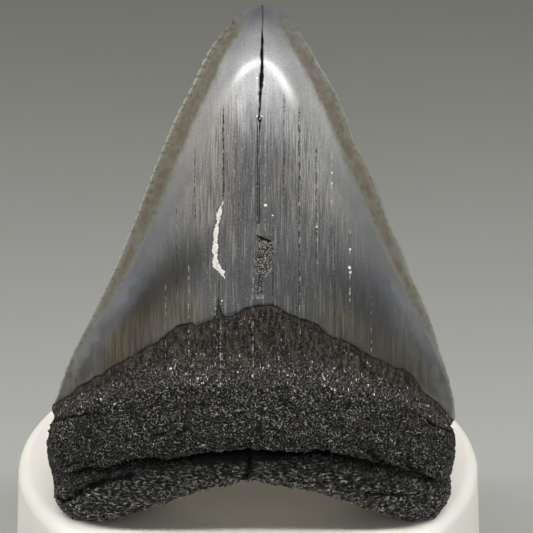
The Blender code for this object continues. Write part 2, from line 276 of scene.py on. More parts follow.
CRACK_WIDTH = ((22.8, 0), (24, 0.03), (31.4, 0.04), (31.8, 0.14), (32.2, 0.06), (33.5, 0.08),
               (33.9, 0.13), (35, 0.13), (35.4, 0.08), (37.9, 0.09), (38.5, 0.03), (40.4, 0.02))
CRACK_DEPTH = ((22.8, 0), (24, 0.04), (31.4, 0.07), (31.9, 0.3), (33.9, 0.42), (35.3, 0.42),
               (35.7, 0.4), (38.3, 0.34), (38.9, 0.12), (40.4, 0.05))
CREST = ((-3, 30.9), (-2.52, 32.1), (-1.8, 33.87), (-0.59, 35.25), (0.22, 35.95),
         (1.03, 36.45), (1.67, 36.2), (2.64, 35.25), (3.29, 34.1), (3.7, 33.1), (4, 32))
CREST_HEIGHT, CREST_WIDTH = 0.09, 0.9     # a worn arch round the tip, (across, up) in mm
PATCH_TOP, PATCH_BOTTOM, PATCH_PEAK = 22.5, 17.9, 1.3      # the last is across
PATCH_WIDTH = ((17.9, 0.15), (19.6, 0.3), (20.4, 0.62), (22.5, 0.68))
PATCH_MIDDLE = ((17.9, 0.95), (19.6, 1.1), (20.4, 1.35), (22.5, 1.38))
PATCH_DEPTH = 0.16
WORN_EDGE = ((2.12, 0.03, 0.12), (2.3, 0.03, 0.1), (2.43, 0.035, 0.18), (2.55, 0.02, -0.06),
             (2.63, 0.03, 0.24), (2.74, 0.02, -0.05), (2.82, 0.02, 0.1))    # (g, reach, depth)


def foot_height(places, front):
    """Height in mm above the jagged foot of the enamel."""
    across, up = places[..., 0], places[..., 1]
    rows = np.stack((across, np.where(front, 0.0, 40.0) + 0.3 * up, np.zeros_like(up)), axis=-1)
    waves = sum(height * noise_at(rows, size, offset) for size, height, offset in FOOT_WAVES)
    return up - curve(FRONT_FOOT if front else BACK_FOOT, across) - waves


def crown_relief(places, front):
    """Depth in mm of the forms on the crown, with masks of where the crack and the patch are."""
    across, up = places[..., 0], places[..., 1]
    flat = np.zeros_like(up)
    flutes = np.stack((across, 0.12 * up, flat), axis=-1)
    relief = 0.05 * noise_at(flutes, 1.6, 2.0 if front else 12.0)
    if not front:
        return relief, flat, flat
    near = distance_to(CREST, across, up)
    relief = relief + CREST_HEIGHT * bell(near, CREST_WIDTH) * between(31.0, 33.5, up)
    wander = noise_at(np.stack((across, 0.8 * up, flat), axis=-1), 0.45, 4.0)
    on_crack = np.clip(up, CRACK_WIDTH[0][0], CRACK_WIDTH[-1][0])
    width = curve(CRACK_WIDTH, on_crack) * (1.0 + 0.8 * wander)
    middle = curve(CRACK_PATH, up) + 0.07 * noise_at(flutes * (0.0, 3.0, 0.0), 0.5, 8.0)
    crack = between(1.25, 0.75, np.abs(across - middle) / np.clip(width, 0.01, None))
    crack = crack * (up > CRACK_WIDTH[0][0])
    relief = relief - crack * curve(CRACK_DEPTH, on_crack)
    on_patch = np.clip(up, PATCH_BOTTOM, PATCH_TOP)
    half = curve(PATCH_WIDTH, on_patch) * (1.0 + 0.35 * wander)
    patch = between(1.1, 0.8, np.abs(across - curve(PATCH_MIDDLE, on_patch)) / half)
    patch = patch * between(PATCH_BOTTOM - 0.1, PATCH_BOTTOM + 0.3, up)
    round_top = 0.25 * (across - PATCH_PEAK) ** 2
    patch = patch * between(PATCH_TOP + 0.15, PATCH_TOP - 0.1, up + round_top - 0.1 * wander)
    return relief - PATCH_DEPTH * patch, crack, patch

# %% [markdown]
# ## One face as a grid
#
# `face` puts the main form and the finer forms together. It gives the place of every grid
# point, and beside it what the materials and the Geometry Nodes will need: the height above
# the enamel's foot, the distance from the cutting edge, and masks of the crack and the patch.

# %% The face function
def plain_face(s, g, front):
    """Places (across, up, forward) in mm, without the finer forms."""
    across = chord(curve(column(LEFT_EDGE, 1), g), curve(column(RIGHT_EDGE, 1), g), s)
    midline = FRONT_MIDLINE_UP if front else BACK_MIDLINE_UP
    low = np.clip(g, UNDERSIDE, ROOT_TOP)
    high = np.clip(g, ROOT_TOP, TIP)
    up = np.where(g < ROOT_TOP, root_line(s, low, midline), upper_line(s, high, midline))
    rim, full = curve(EDGE_FORWARD, g), fullness(s, g, front)
    if front:
        shifted = groove_shift(s, g)
        bulge = curve(FRONT_BULGE, shifted)
        shallow = between(0.3, 0.75, np.abs(s)) * bell(shifted - GROOVE_PLACE, 0.03)
        forward = rim + (bulge + GROOVE_FILL * shallow - rim) * full
        up = up + (GROOVE_LIFT * np.sin(math.pi * low)
                   * bell(s - GROOVE_LIFT_S, GROOVE_LIFT_REACH))
    else:
        forward = rim - (curve(BACK_BULGE, g) + rim) * full
    up = up - np.where(g < ROOT_TOP, (forward - rim) * math.tan(LEAN) * (1.0 - low) ** 2, 0.0)
    return np.stack((across, up, forward), axis=-1)


def face(s, g, front):
    """Places in mm with all the forms, and the facts at each place."""
    places = plain_face(s, g, front)
    full, side = fullness(s, g, front), 1.0 if front else -1.0
    foot, relief = foot_height(places, front), np.zeros_like(g)
    facts = {"foot": foot, **{name: np.zeros_like(g) for name in ("crack", "patch", "hollow_painted_shade")}}
    on_root = (g < ROOT_TOP + 0.02).any(axis=-1)
    relief[on_root], facts["hollow_painted_shade"][on_root] = root_relief(
        s[on_root], g[on_root], places[on_root], front)
    relief[on_root] *= between(ROOT_TOP + 0.01, ROOT_TOP - 0.03, g[on_root])
    on_crown = (g > ROOT_TOP).any(axis=-1)
    if on_crown.any():
        forms, facts["crack"][on_crown], facts["patch"][on_crown] = crown_relief(
            places[on_crown], front)
        forms = forms + ENAMEL_STEP * (between(-0.06, 0.12, foot[on_crown]) - 1.0)
        relief[on_crown] += forms * between(ROOT_TOP, ROOT_TOP + 0.1, g[on_crown]) * between(
            0.0, 0.12, 1.0 - np.abs(s[on_crown]))
    places[..., 2] += relief * full ** 0.3 * side
    places[..., 0] += np.where(g < ROOT_TOP, relief * (1.0 - full) * np.sign(s), 0.0)
    left, right = curve(column(LEFT_EDGE, 1), g), curve(column(RIGHT_EDGE, 1), g)
    facts["rim"] = 0.9 * np.where(s < 0.0, places[..., 0] - left, right - places[..., 0])
    facts["side"] = s
    wear_and_painted_highlight = sum(depth * bell(g - place, reach) for place, reach, depth in WORN_EDGE)
    places[..., 0] -= wear_and_painted_highlight * bell(facts["rim"], 0.7) * (s > 0.0)
    return places, facts

# %% [markdown]
# ## From grids to closed meshes
#
# The rows of a grid are growth lines. Along each row the columns are spaced evenly by length
# over the surface, so the grain has the same number of faces to stand on everywhere. The
# tooth is two meshes: the root, with its close grid for the grain, and the crown, which starts
# a little below the root's top, sunk under it as bone crust lies over the neck of a tooth.
# Both get a UV map, with the front large and the back smaller.

# %% Rows and columns
def even_columns(rows, count, front):
    """The s of each grid point, for rows of g: evenly spaced along each growth line."""
    dense = np.sin(np.linspace(-1.0, 1.0, 321) * math.pi / 2.0)
    s, g = np.meshgrid(dense, rows)
    steps = np.linalg.norm(np.diff(plain_face(s, g, front), axis=1), axis=-1)
    lengths = np.concatenate((np.zeros((len(rows), 1)), np.cumsum(steps, axis=1)), axis=1)
    wanted = lengths[:, -1:] * np.linspace(0.0, 1.0, count + 1)
    return np.array([np.interp(want, length, dense) for want, length in zip(wanted, lengths)])


def even_rows(low, high, count):
    """Values of g from low to high, evenly spaced along a few lines that run up the front."""
    dense = np.linspace(low, high, 801)
    s, g = np.meshgrid((-0.8, -0.55, -0.2, 0.1, 0.4, 0.7), dense)
    steps = np.linalg.norm(np.diff(plain_face(s, g, True), axis=0), axis=-1).mean(axis=1)
    lengths = np.concatenate(([0.0], np.cumsum(steps)))
    return np.interp(np.linspace(0.0, lengths[-1], count), lengths, dense)


def ring_grid(rows, front_count, back_count):
    """Closed rings of places, front then back the other way, and the facts at each place."""
    halves = []
    for front, count in ((True, front_count), (False, back_count)):
        s = even_columns(rows, count, front)
        halves.append(face(s, np.repeat(rows[:, None], count + 1, axis=1), front))
    (front_places, front_facts), (back_places, back_facts) = halves
    ring = np.concatenate((front_places, back_places[:, -2:0:-1]), axis=1)
    facts = {name: np.concatenate((front_facts[name], back_facts[name][:, -2:0:-1]), axis=1)
             for name in front_facts}
    shape = ring.shape[:2]
    facts["front"] = np.zeros(shape)
    facts["front"][:, :front_count + 1] = 1.0
    facts["growth"] = np.repeat(rows[:, None], shape[1], axis=1)
    return ring, facts


def with_ring(ring, facts, places):
    """The rings with one more at their top, which takes its facts from the last one."""
    return (np.concatenate((ring, places[None])),
            {key: np.concatenate((value, value[-1:])) for key, value in facts.items()})


def outward(ring):
    """Unit normals of a closed grid of rings."""
    round_it = np.roll(ring, -1, axis=1) - np.roll(ring, 1, axis=1)
    normals = np.cross(round_it, np.gradient(ring, axis=0))
    return normals / np.clip(np.linalg.norm(normals, axis=-1, keepdims=True), 1e-9, None)


def to_world(places):
    """From the tooth's own millimetres to metres in the part's frame."""
    across, up, forward = np.moveaxis(places, -1, 0)
    return np.stack((across,
                     CONTACT_Y + up * math.sin(LEAN) - forward * math.cos(LEAN),
                     STAND_TOP + GAP + up * math.cos(LEAN) + forward * math.sin(LEAN)),
                    axis=-1) * MM

# %% A closed mesh from rings
def side_faces(row_count, front_count, back_count, front_band, back_band):
    """Faces between the rings, each with its corners' UVs; a band is (lowest v, highest v)."""
    ring, last = front_count + back_count, row_count - 1
    faces, uvs = [], []
    for row in range(last):
        for k in range(ring):
            low, high = row * ring, (row + 1) * ring
            following = (k + 1) % ring
            faces.append((low + k, low + following, high + following, high + k))
            if k < front_count:
                u0, u1, band = k / front_count, (k + 1) / front_count, front_band
            else:
                u0 = (k - front_count) / back_count
                u1, band = u0 + 1.0 / back_count, back_band
            v0, v1 = (band[0] + (band[1] - band[0]) * r / last for r in (row, row + 1))
            uvs += [(u0, v0), (u1, v0), (u1, v1), (u0, v1)]
    return faces, uvs


def end_faces(first, front_count, back_count, band, facing_up):
    """Strips that close a ring of points, from its front to its back."""
    def behind(k):
        return first if k == 0 else first + front_count + back_count - k
    faces, uvs = [], []
    for k in range(back_count):
        near = [first + 2 * k, first + 2 * k + 1, first + 2 * k + 2]
        far = [behind(k + 1), behind(k)] if k + 1 < back_count else [behind(k)]
        corners = [(v, (2 * k + n) / front_count, band[0]) for n, v in enumerate(near)]
        corners += [(v, (k + 1 - n) / back_count if len(far) == 2 else k / back_count, band[1])
                    for n, v in enumerate(far) if v != first]
        if not facing_up:
            corners.reverse()
        faces.append([v for v, _, _ in corners])
        uvs += [(u, v) for _, u, v in corners]
    return faces, uvs


def skins(facts):
    """Masks of where the surface is gritty crust and where it is the wrinkled collar."""
    growth, foot, wide = facts["growth"], facts["foot"], np.abs(facts["side"])
    front = facts["front"] > 0.5
    crusty = np.where(front, between(1.4, 0.95, growth), between(0.1, -0.15, foot))
    crusty = crusty * (1.0 - 0.55 * between(0.93, 1.0, wide) * front)
    crusty = np.maximum(crusty, 0.7 * facts["patch"])
    wrinkled = between(0.0, -0.2, foot) * between(0.97, 1.1, growth) * front
    facts["crusty"] = crusty
    facts["wrinkled"] = wrinkled * (1.0 - 0.8 * between(0.62, 0.82, wide))
    return facts


def link(name, data):
    thing = bpy.data.objects.new(name, data)
    bpy.context.scene.collection.objects.link(thing)
    return thing


def new_mesh(name, points, faces, uvs):
    """A smooth mesh object with its UV map."""
    mesh = bpy.data.meshes.new(name)
    mesh.from_pydata(points, [], faces)
    layer = mesh.uv_layers.new(name="OFBake")
    layer.data.foreach_set("uv", np.asarray(uvs, np.float32).ravel())
    mesh.shade_smooth()
    print(f"{name}: {len(mesh.vertices)} points, {sum(len(f) - 2 for f in faces)} triangles")
    return link(name, mesh)


def build(name, points, faces, uvs, facts):
    """A piece of the tooth, with one named attribute for each fact."""
    piece = new_mesh(name, to_world(points), faces, uvs)
    for key, values in skins({**facts, "place": points}).items():
        flat = values.ndim == 1
        stored = piece.data.attributes.new(key, "FLOAT" if flat else "FLOAT_VECTOR", "POINT")
        stored.data.foreach_set("value" if flat else "vector",
                                values.astype(np.float32).ravel())
    piece.data.validate()
    return piece

# %% [markdown]
# ## The root
#
# The real root is bone, softer and rougher than enamel. Its rings run from the underside to
# its top edge, where the last two are tucked inwards, under the crust's lip. The underside has
# rows of its own, so it carries grain where it shows under the arch.

# %% The root's mesh
ROOT_ROWS, ROOT_FRONT, ROOT_BACK, UNDER_ROWS = 134, 400, 200, 30
ROOT_BANDS = ((0.40, 1.0), (0.14, 0.395), (0.0, 0.135))     # front, back, underside
TUCKS = (0.16, 0.5)                 # mm that the last two rings are drawn in

def root_object():
    rows = even_rows(UNDERSIDE, ROOT_TOP, ROOT_ROWS - len(TUCKS))
    ring, facts = ring_grid(rows, ROOT_FRONT, ROOT_BACK)
    normals = outward(ring)
    edge = ring[-1]
    frayed = 0.3 * noise_at(edge, 1.1, 20.0) + 0.15 * noise_at(edge, 0.4, 30.0)
    settle = between(0.93, 1.0, rows)[:, None] * (frayed - 0.1)[None, :]
    ring[..., 1] += settle
    for draw in TUCKS:
        ring, facts = with_ring(ring, facts, ring[len(rows) - 1] - normals[-1] * draw)
    count = ROOT_FRONT + ROOT_BACK
    points = ring.reshape(-1, 3)
    facts = {key: value.reshape(-1) for key, value in facts.items()}
    faces, uvs = side_faces(ROOT_ROWS, ROOT_FRONT, ROOT_BACK, *ROOT_BANDS[:2])
    front_top = ROOT_BANDS[0][1]
    top_faces, top_uvs = end_faces((ROOT_ROWS - 1) * count, ROOT_FRONT, ROOT_BACK,
                                   (front_top - 1e-3, front_top), True)
    faces, uvs = faces + top_faces, uvs + top_uvs
    # underside rows, between the front and the back of the first ring
    near = ring[0, :ROOT_FRONT + 1]
    behind = np.concatenate((ring[0, :1], ring[0, :ROOT_FRONT - 1:-1]))
    wanted = np.arange(ROOT_FRONT + 1) / 2.0
    far = np.array([np.interp(wanted, np.arange(ROOT_BACK + 1), line) for line in behind.T]).T
    start = len(points)
    blends = np.linspace(0.0, 1.0, UNDER_ROWS + 1)[1:-1]
    under = np.concatenate([near[1:-1] + (far - near)[1:-1] * t for t in blends])
    points = np.concatenate((points, under))
    facts = {key: np.concatenate((value, np.tile(value[1:ROOT_FRONT], UNDER_ROWS - 1)))
             for key, value in facts.items()}

    def spot(row, k):
        if k in (0, ROOT_FRONT) or row == 0:
            return k
        return start + (row - 1) * (ROOT_FRONT - 1) + k - 1

    def uv(row, k):
        low, high = ROOT_BANDS[2]
        return (k / ROOT_FRONT, low + (high - low) * row / UNDER_ROWS)

    for row in range(UNDER_ROWS - 1):
        for k in range(ROOT_FRONT):
            corners = [(row + 1, k), (row + 1, k + 1), (row, k + 1), (row, k)]
            if k == 0:
                corners = corners[:3]
            if k == ROOT_FRONT - 1:
                corners = [corners[0], corners[1], corners[3]]
            faces.append([spot(*corner) for corner in corners])
            uvs += [uv(*corner) for corner in corners]
    last = UNDER_ROWS - 1
    for k in range(ROOT_BACK):
        back = [(0 if m == 0 else ROOT_FRONT if m == ROOT_BACK else count - m)
                for m in (k, k + 1)]
        corners = [(back[0], (UNDER_ROWS, 2 * k)), (back[1], (UNDER_ROWS, 2 * k + 2))]
        corners += [(spot(last, m), (last, m)) for m in (2 * k + 2, 2 * k + 1, 2 * k)
                    if spot(last, m) not in back]
        faces.append([index for index, _ in corners])
        uvs += [uv(*corner) for _, corner in corners]
    return build("tooth_root", points, faces, uvs, facts)


root = root_object()

# %% [markdown]
# ## The crown
#
# The crown's rings go up to the tip through 42 serrations on each cutting edge, five rings to
# each. Three more rings round off the tip.

# %% The crown's mesh
CROWN_FRONT, CROWN_BACK, NECK_ROWS, SERRATIONS, STEPS_EACH = 250, 125, 46, 42, 5
CROWN_BANDS = ((0.38, 1.0), (0.0, 0.375))
NECK_BOTTOM, NECK_SINK = 0.92, 0.14
TIP_TURNS, TIP_RISE = (0.4, 0.8, 1.2), 0.05         # radians and mm of the rings that close it
RIGHT_WEAR, FLARE_SLOPE = 0.4, math.radians(24.0)   # how far beads reach, and which way

def crown_object():
    steps = SERRATIONS * STEPS_EACH
    rows = np.concatenate((even_rows(NECK_BOTTOM, ENAMEL_FOOT, NECK_ROWS),
                           ENAMEL_FOOT + np.arange(1, steps + 1) / steps))
    ring, facts = ring_grid(rows, CROWN_FRONT, CROWN_BACK)
    sink = NECK_SINK * between(ROOT_TOP + 0.06, ROOT_TOP - 0.01, rows)
    ring -= outward(ring) * sink[:, None, None]
    tip, middle = ring[-1], ring[-1].mean(axis=0)
    for turn in TIP_TURNS:
        cap = middle + (tip - middle) * math.cos(turn) + (0.0, TIP_RISE * math.sin(turn), 0.0)
        ring, facts = with_ring(ring, facts, cap)
    facts = {key: value.reshape(-1) for key, value in facts.items()}
    points = ring.reshape(-1, 3)
    faces, uvs = side_faces(len(ring), CROWN_FRONT, CROWN_BACK, *CROWN_BANDS)
    (_, front_high), (_, back_high) = CROWN_BANDS
    for first, band, facing_up in (
            (0, (back_high, back_high + 2e-3), False),
            (len(points) - CROWN_FRONT - CROWN_BACK, (front_high, front_high - 1e-3), True)):
        more_faces, more_uvs = end_faces(first, CROWN_FRONT, CROWN_BACK, band, facing_up)
        faces, uvs = faces + more_faces, uvs + more_uvs
    growth, side = facts["growth"], facts["side"]
    facts["reach"] = (bell(facts["rim"], 0.4) * np.where(side < 0.0, 1.0, RIGHT_WEAR)
                      * between(TIP, TIP - 0.06, growth)
                      * between(ENAMEL_FOOT - 0.01, ENAMEL_FOOT + 0.03, growth))
    facts["turn"] = growth - ENAMEL_FOOT
    flare = np.stack((np.sign(side) * math.cos(FLARE_SLOPE),
                      np.full_like(side, math.sin(FLARE_SLOPE)), np.zeros_like(side)), axis=-1)
    facts["away"] = (to_world(flare) - to_world(np.zeros(3))) / MM
    return build("tooth_crown", points, faces, uvs, facts)

crown = crown_object()

# %% [markdown]
# ## Small helpers for node trees
#
# Geometry Nodes and materials are both trees of nodes. `add` makes a node, fills its inputs
# and gives back its output as a `Value`. Values can be added and multiplied as numbers can,
# and each sum or product makes a Math node, the one that is used most.

# %% Node helpers
class Value:
    """One output of a node, which takes part in sums as a number does."""

    def __init__(self, socket):
        self.socket, self.tree = socket, socket.id_data

    def __abs__(self):
        return calc("ABSOLUTE", self)

    def scaled(self, factor, addend):
        """This times the factor, plus the addend, in one node."""
        return calc("MULTIPLY_ADD", self, factor, addend)

    def step(self, low, high, out_low=0.0, out_high=1.0):
        """A smooth step from out_low, where this is low, to out_high, where this is high."""
        return add(self.tree, "ShaderNodeMapRange", {
            "Value": self, "From Min": low, "From Max": high, "To Min": out_low,
            "To Max": out_high}, interpolation_type="SMOOTHSTEP")

    def beside(self, name):
        """Another output of the same node."""
        return Value(self.socket.node.outputs[name])


for sign, sum_kind in (("add", "ADD"), ("sub", "SUBTRACT"), ("mul", "MULTIPLY"),
                       ("truediv", "DIVIDE")):
    setattr(Value, f"__{sign}__", lambda one, other, kind=sum_kind: calc(kind, one, other))
    setattr(Value, f"__r{sign}__", lambda one, other, kind=sum_kind: calc(kind, other, one))


def connect(node, inputs):
    """Fill a node's inputs, each with a number or with a link from another node."""
    for key, value in inputs.items():
        if isinstance(value, Value):
            node.id_data.links.new(value.socket, node.inputs[key])
        else:
            node.inputs[key].default_value = value


def add(tree, kind, inputs=None, out=0, **settings):
    made = tree.nodes.new(kind)
    for name, value in settings.items():
        setattr(made, name, value)
    connect(made, inputs or {})
    return Value(made.outputs[out]) if len(made.outputs) else None


def calc(operation, *values):
    tree = next(value.tree for value in values if isinstance(value, Value))
    return add(tree, "ShaderNodeMath", dict(enumerate(values)), operation=operation)


def vector(operation, place, inputs):
    return add(place.tree, "ShaderNodeVectorMath", {0: place, **inputs}, operation=operation)


def moved(place, *by):
    return vector("ADD", place, {1: by})


def stretched(place, *by):
    return vector("MULTIPLY", place, {1: by})


def scale(place, factor):
    return vector("SCALE", place, {"Scale": factor})


def split(place):
    """The three parts of a place: across, up and forward."""
    parts = add(place.tree, "ShaderNodeSeparateXYZ", {"Vector": place})
    return parts, parts.beside("Y"), parts.beside("Z")


def lookup(value, points):
    """The smooth curve through (value, result) points, as a Float Curve node."""
    (low, high), results = (points[0][0], points[-1][0]), [result for _, result in points]
    least, most = min(results), max(results) + 1e-6
    where = add(value.tree, "ShaderNodeMapRange",
                {"Value": value, "From Min": low, "From Max": high})
    made = add(value.tree, "ShaderNodeFloatCurve", {"Value": where})
    mapping = made.socket.node.mapping
    while len(mapping.curves[0].points) < len(points):
        mapping.curves[0].points.new(0.5, 0.5)
    for point, (at, result) in zip(mapping.curves[0].points, points):
        point.location = ((at - low) / (high - low), (result - least) / (most - least))
    mapping.update()
    return made.scaled(most - least, least)


def texture(where, often, detail, roughness, key="Vector", **settings):
    """Noise that changes so many times in each mm."""
    return add(where.tree, "ShaderNodeTexNoise", {
        key: where, "Scale": often, "Detail": detail, "Roughness": roughness}, **settings)


def new_group(name, kind, inputs, outputs):
    """A node group and the values of its inputs; an input is a usual number or a kind."""
    group = bpy.data.node_groups.new(name, kind + "NodeTree")
    for label, usual in inputs.items():
        is_kind = isinstance(usual, str)
        socket = group.interface.new_socket(
            label, in_out="INPUT", socket_type="NodeSocket" + (usual if is_kind else "Float"))
        if not is_kind:
            socket.default_value = usual
    for label, output_kind in outputs.items():
        group.interface.new_socket(label, in_out="OUTPUT",
                                   socket_type="NodeSocket" + output_kind)
    given = group.nodes.new("NodeGroupInput").outputs
    return group, {label: Value(given[label]) for label in inputs}

# %% [markdown]
# ## Serrations
#
# A megalodon's cutting edge is a row of small even beads with narrow notches between them. The
# count, depth and notch width are inputs of a Geometry Nodes tree. It reads how far each point
# is up its edge, works out where it stands within its bead, and moves it in or out. A random
# number for each bead, with a fixed seed, makes some notches deeper than others.

# %% The serration tree
def named(tree, name, kind="FLOAT"):
    return add(tree, "GeometryNodeInputNamedAttribute", {"Name": name}, data_type=kind)


def keep(geometry, name, value):
    """Store a value on the points, for the material to read."""
    return add(geometry.tree, "GeometryNodeStoreNamedAttribute",
               {"Geometry": geometry, "Name": name, "Value": value},
               data_type="FLOAT", domain="POINT")


def new_tree(name, sizes):
    """A Geometry Nodes tree with a geometry, the named sizes and a material as its inputs."""
    return new_group(name, "Geometry", {"Geometry": "Geometry", **sizes, "Material": "Material"},
                     {"Geometry": "Geometry"})


def close_tree(geometry, material):
    real = add(geometry.tree, "GeometryNodeRealizeInstances", {"Geometry": geometry})
    dressed = add(real.tree, "GeometryNodeSetMaterial", {"Geometry": real, "Material": material})
    add(real.tree, "NodeGroupOutput", {"Geometry": dressed})


def serration_tree():
    tree, sizes = new_tree("serrations", {"Count": 42.0, "Depth": 0.16, "Notch": 0.22,
                                          "Unevenness": 0.5})
    turn = named(tree, "turn") * sizes["Count"]
    within = turn - calc("FLOOR", turn)
    narrow = calc("MINIMUM", within, 1.0 - within) / sizes["Notch"]
    notch = calc("EXPONENT", (narrow * narrow) * -1.0)
    chance = add(tree, "FunctionNodeRandomValue", {"ID": calc("ROUND", turn), "Seed": 7}, 1,
                 data_type="FLOAT")
    notch = notch * (1.0 - chance * sizes["Unevenness"])
    reach = named(tree, "reach") * sizes["Depth"]
    out = (0.35 - notch) * (reach * MM)
    moved_out = add(tree, "GeometryNodeSetPosition", {
        "Geometry": sizes["Geometry"],
        "Offset": scale(named(tree, "away", "FLOAT_VECTOR"), out)})
    # the notch mask, which the material darkens as painted shade
    marked = keep(moved_out, "notch", notch * named(tree, "reach"))
    close_tree(marked, sizes["Material"])
    return tree

# %% [markdown]
# ## Crust and wrinkles
#
# Bone that has lain in the sea floor is gritty: lumps of a millimetre, grains of a fifth of a
# millimetre and pits between them. The collar under the enamel is finer, with wrinkles that
# run up and down. Both are one tree that moves each point along its normal. It works on the
# mesh and not in the material, so the grit shows in the outline and throws real shadows.

# %% The crust tree
def crust_tree():
    tree, sizes = new_tree("crust", {
        "Lump Size": 0.9, "Lump Height": 0.12, "Grain Size": 0.24, "Grain Height": 0.11,
        "Pit Size": 0.5, "Pit Depth": 0.12, "Wrinkle Width": 0.5, "Wrinkle Height": 0.12,
        "Lowest": 16.0, "Seed": 0.0})
    shift = add(tree, "ShaderNodeVectorMath", {0: (17.3, 5.1, 9.7), "Scale": sizes["Seed"]},
                operation="SCALE")
    place = vector("ADD", named(tree, "place", "FLOAT_VECTOR"), {1: shift})
    apart = add(tree, "ShaderNodeCombineXYZ", {"Z": named(tree, "front") * 50.0})
    place = vector("ADD", place, {1: apart})

    def bumps(where, size, detail=1.0):
        """Noise between -1 and 1 with bumps of that size in mm."""
        return texture(where, 1.0 / size, detail, 0.55).scaled(2.0, -1.0)

    crust = named(tree, "crusty")
    lumps = bumps(place, sizes["Lump Size"], 2.0) * sizes["Lump Height"]
    cells = add(tree, "ShaderNodeTexVoronoi", {
        "Vector": place, "Scale": 1.0 / sizes["Grain Size"], "Randomness": 1.0},
        feature="F1", distance="EUCLIDEAN")
    grain = cells.step(0.75, 0.1) * bumps(place, 0.7).step(-0.5, 0.6, 0.35, 1.2)
    pits = bumps(place, sizes["Pit Size"], 2.0).step(0.12, 0.4)
    relief = (lumps + grain * sizes["Grain Height"] - pits * sizes["Pit Depth"]) * crust
    wrinkles = bumps(stretched(place, 1.0, 0.16, 0.3), sizes["Wrinkle Width"], 2.0)
    knots = bumps(stretched(place, 1.0, 0.6, 1.0), 0.45, 2.0)
    wrinkles = ((wrinkles + knots * 0.6) * sizes["Wrinkle Height"]) * named(tree, "wrinkled")
    lift = scale(add(tree, "GeometryNodeInputNormal"), (relief + wrinkles) * MM)
    lifted = add(tree, "GeometryNodeSetPosition",
                 {"Geometry": sizes["Geometry"], "Offset": lift})
    x, y, z = split(add(tree, "GeometryNodeInputPosition"))
    level = add(tree, "ShaderNodeCombineXYZ",
                {"X": x, "Y": y, "Z": calc("MAXIMUM", z, sizes["Lowest"] * MM)})
    rested = add(tree, "GeometryNodeSetPosition", {"Geometry": lifted, "Position": level})
    marked = keep(rested, "grain", grain * crust)
    marked = keep(marked, "pits", pits * crust)
    close_tree(marked, sizes["Material"])
    return tree


def finish_with(thing, tree, sizes, material):
    """Put the object through the tree and keep the result as a plain mesh."""
    modifier = thing.modifiers.new(tree.name, "NODES")
    modifier.node_group = tree
    for item in tree.interface.items_tree:
        if item.in_out == "INPUT" and item.name in sizes:
            modifier[item.identifier] = sizes[item.name]
        if item.in_out == "INPUT" and item.name == "Material":
            modifier[item.identifier] = material
    ready = thing.evaluated_get(bpy.context.evaluated_depsgraph_get())
    plain, old = bpy.data.meshes.new_from_object(ready), thing.data
    thing.modifiers.remove(modifier)
    thing.data = plain
    bpy.data.meshes.remove(old)
    print(f"{thing.name} through {tree.name}: {len(plain.vertices)} points")

# %% [markdown]
# ## Shader effects
#
# Four effects come back many times, so each is a node group with named inputs, made once:
# `grit` for sandy bone, `streaks` for grain that runs one way, `hairline` for a single long
# crack, and `mottle` for patches of colour of any size. Each puts out only values, most of them
# between 0 and 1, and the material decides what they mean: a colour, a roughness or a height.

# %% Node groups for the materials
def mottle_group():
    group, given = new_group("mottle", "Shader", {
        "Place": "Vector", "Size": 2.0, "Low": 0.35, "High": 0.65}, {"Mottle": "Float"})
    cloud = texture(given["Place"], 1.0 / given["Size"], 4.0, 0.6)
    add(group, "NodeGroupOutput", {"Mottle": cloud.step(given["Low"], given["High"])})
    return group


def streaks_group():
    group, given = new_group("streaks", "Shader", {
        "Place": "Vector", "Width": 0.2, "Length": 6.0, "Low": 0.4, "High": 0.6},
        {"Streaks": "Float"})
    x, y, z = split(given["Place"])
    tall = add(group, "ShaderNodeCombineXYZ", {
        "X": x / given["Width"], "Y": y / given["Length"], "Z": z / given["Length"]})
    grain = texture(tall, 1.0, 3.0, 0.6)
    add(group, "NodeGroupOutput", {"Streaks": grain.step(given["Low"], given["High"])})
    return group


def hairline_group():
    group, given = new_group("hairline", "Shader", {
        "Place": "Vector", "Across": 0.0, "Bottom": 20.0, "Top": 30.0, "Width": 0.06,
        "Wander": 0.15, "Lean": 0.0, "Broken": 0.3}, {"Line": "Float"})
    across, up, _ = split(given["Place"])
    climb = given["Across"].scaled(7.3, up)

    def along_line(*character):
        return texture(climb, *character, "W", noise_dimensions="1D")

    sway = along_line(0.6, 4.0, 0.65) - 0.5
    middle = sway.scaled(given["Wander"] * 4.0, given["Across"])
    rise = up - given["Bottom"]
    aside = abs(across - rise.scaled(given["Lean"], middle))
    width = given["Width"] * along_line(3.0, 2.0, 0.6).step(0.2, 0.8, 0.3, 1.6)
    line = (aside / width).step(1.0, 0.25)
    start, stop = rise.step(0.0, 0.8), (given["Top"] - up).step(0.0, 0.8)
    gaps = (along_line(1.7, 2.0, 0.5) - given["Broken"]).step(0.0, 0.12)
    add(group, "NodeGroupOutput", {"Line": (line * gaps) * (start * stop)})
    return group


def grit_group():
    group, given = new_group("grit", "Shader", {"Place": "Vector", "Size": 0.16, "Share": 0.5},
                             {"Height": "Float", "Pore": "Float"})
    place, often = given["Place"], 1.0 / given["Size"]
    cells = add(group, "ShaderNodeTexVoronoi", {"Vector": place, "Scale": often})
    fine = texture(place, often * 1.7, 3.0, 0.65)
    pore = texture(place, often * 0.55, 2.0, 0.6)
    add(group, "NodeGroupOutput", {"Height": fine.scaled(0.8, cells.step(0.7, 0.05)),
                                   "Pore": (pore + given["Share"]).step(1.08, 1.2)})
    return group


GROUPS = {"mottle": mottle_group(), "streaks": streaks_group(), "hairline": hairline_group(),
          "grit": grit_group()}
print("node groups:", *GROUPS)

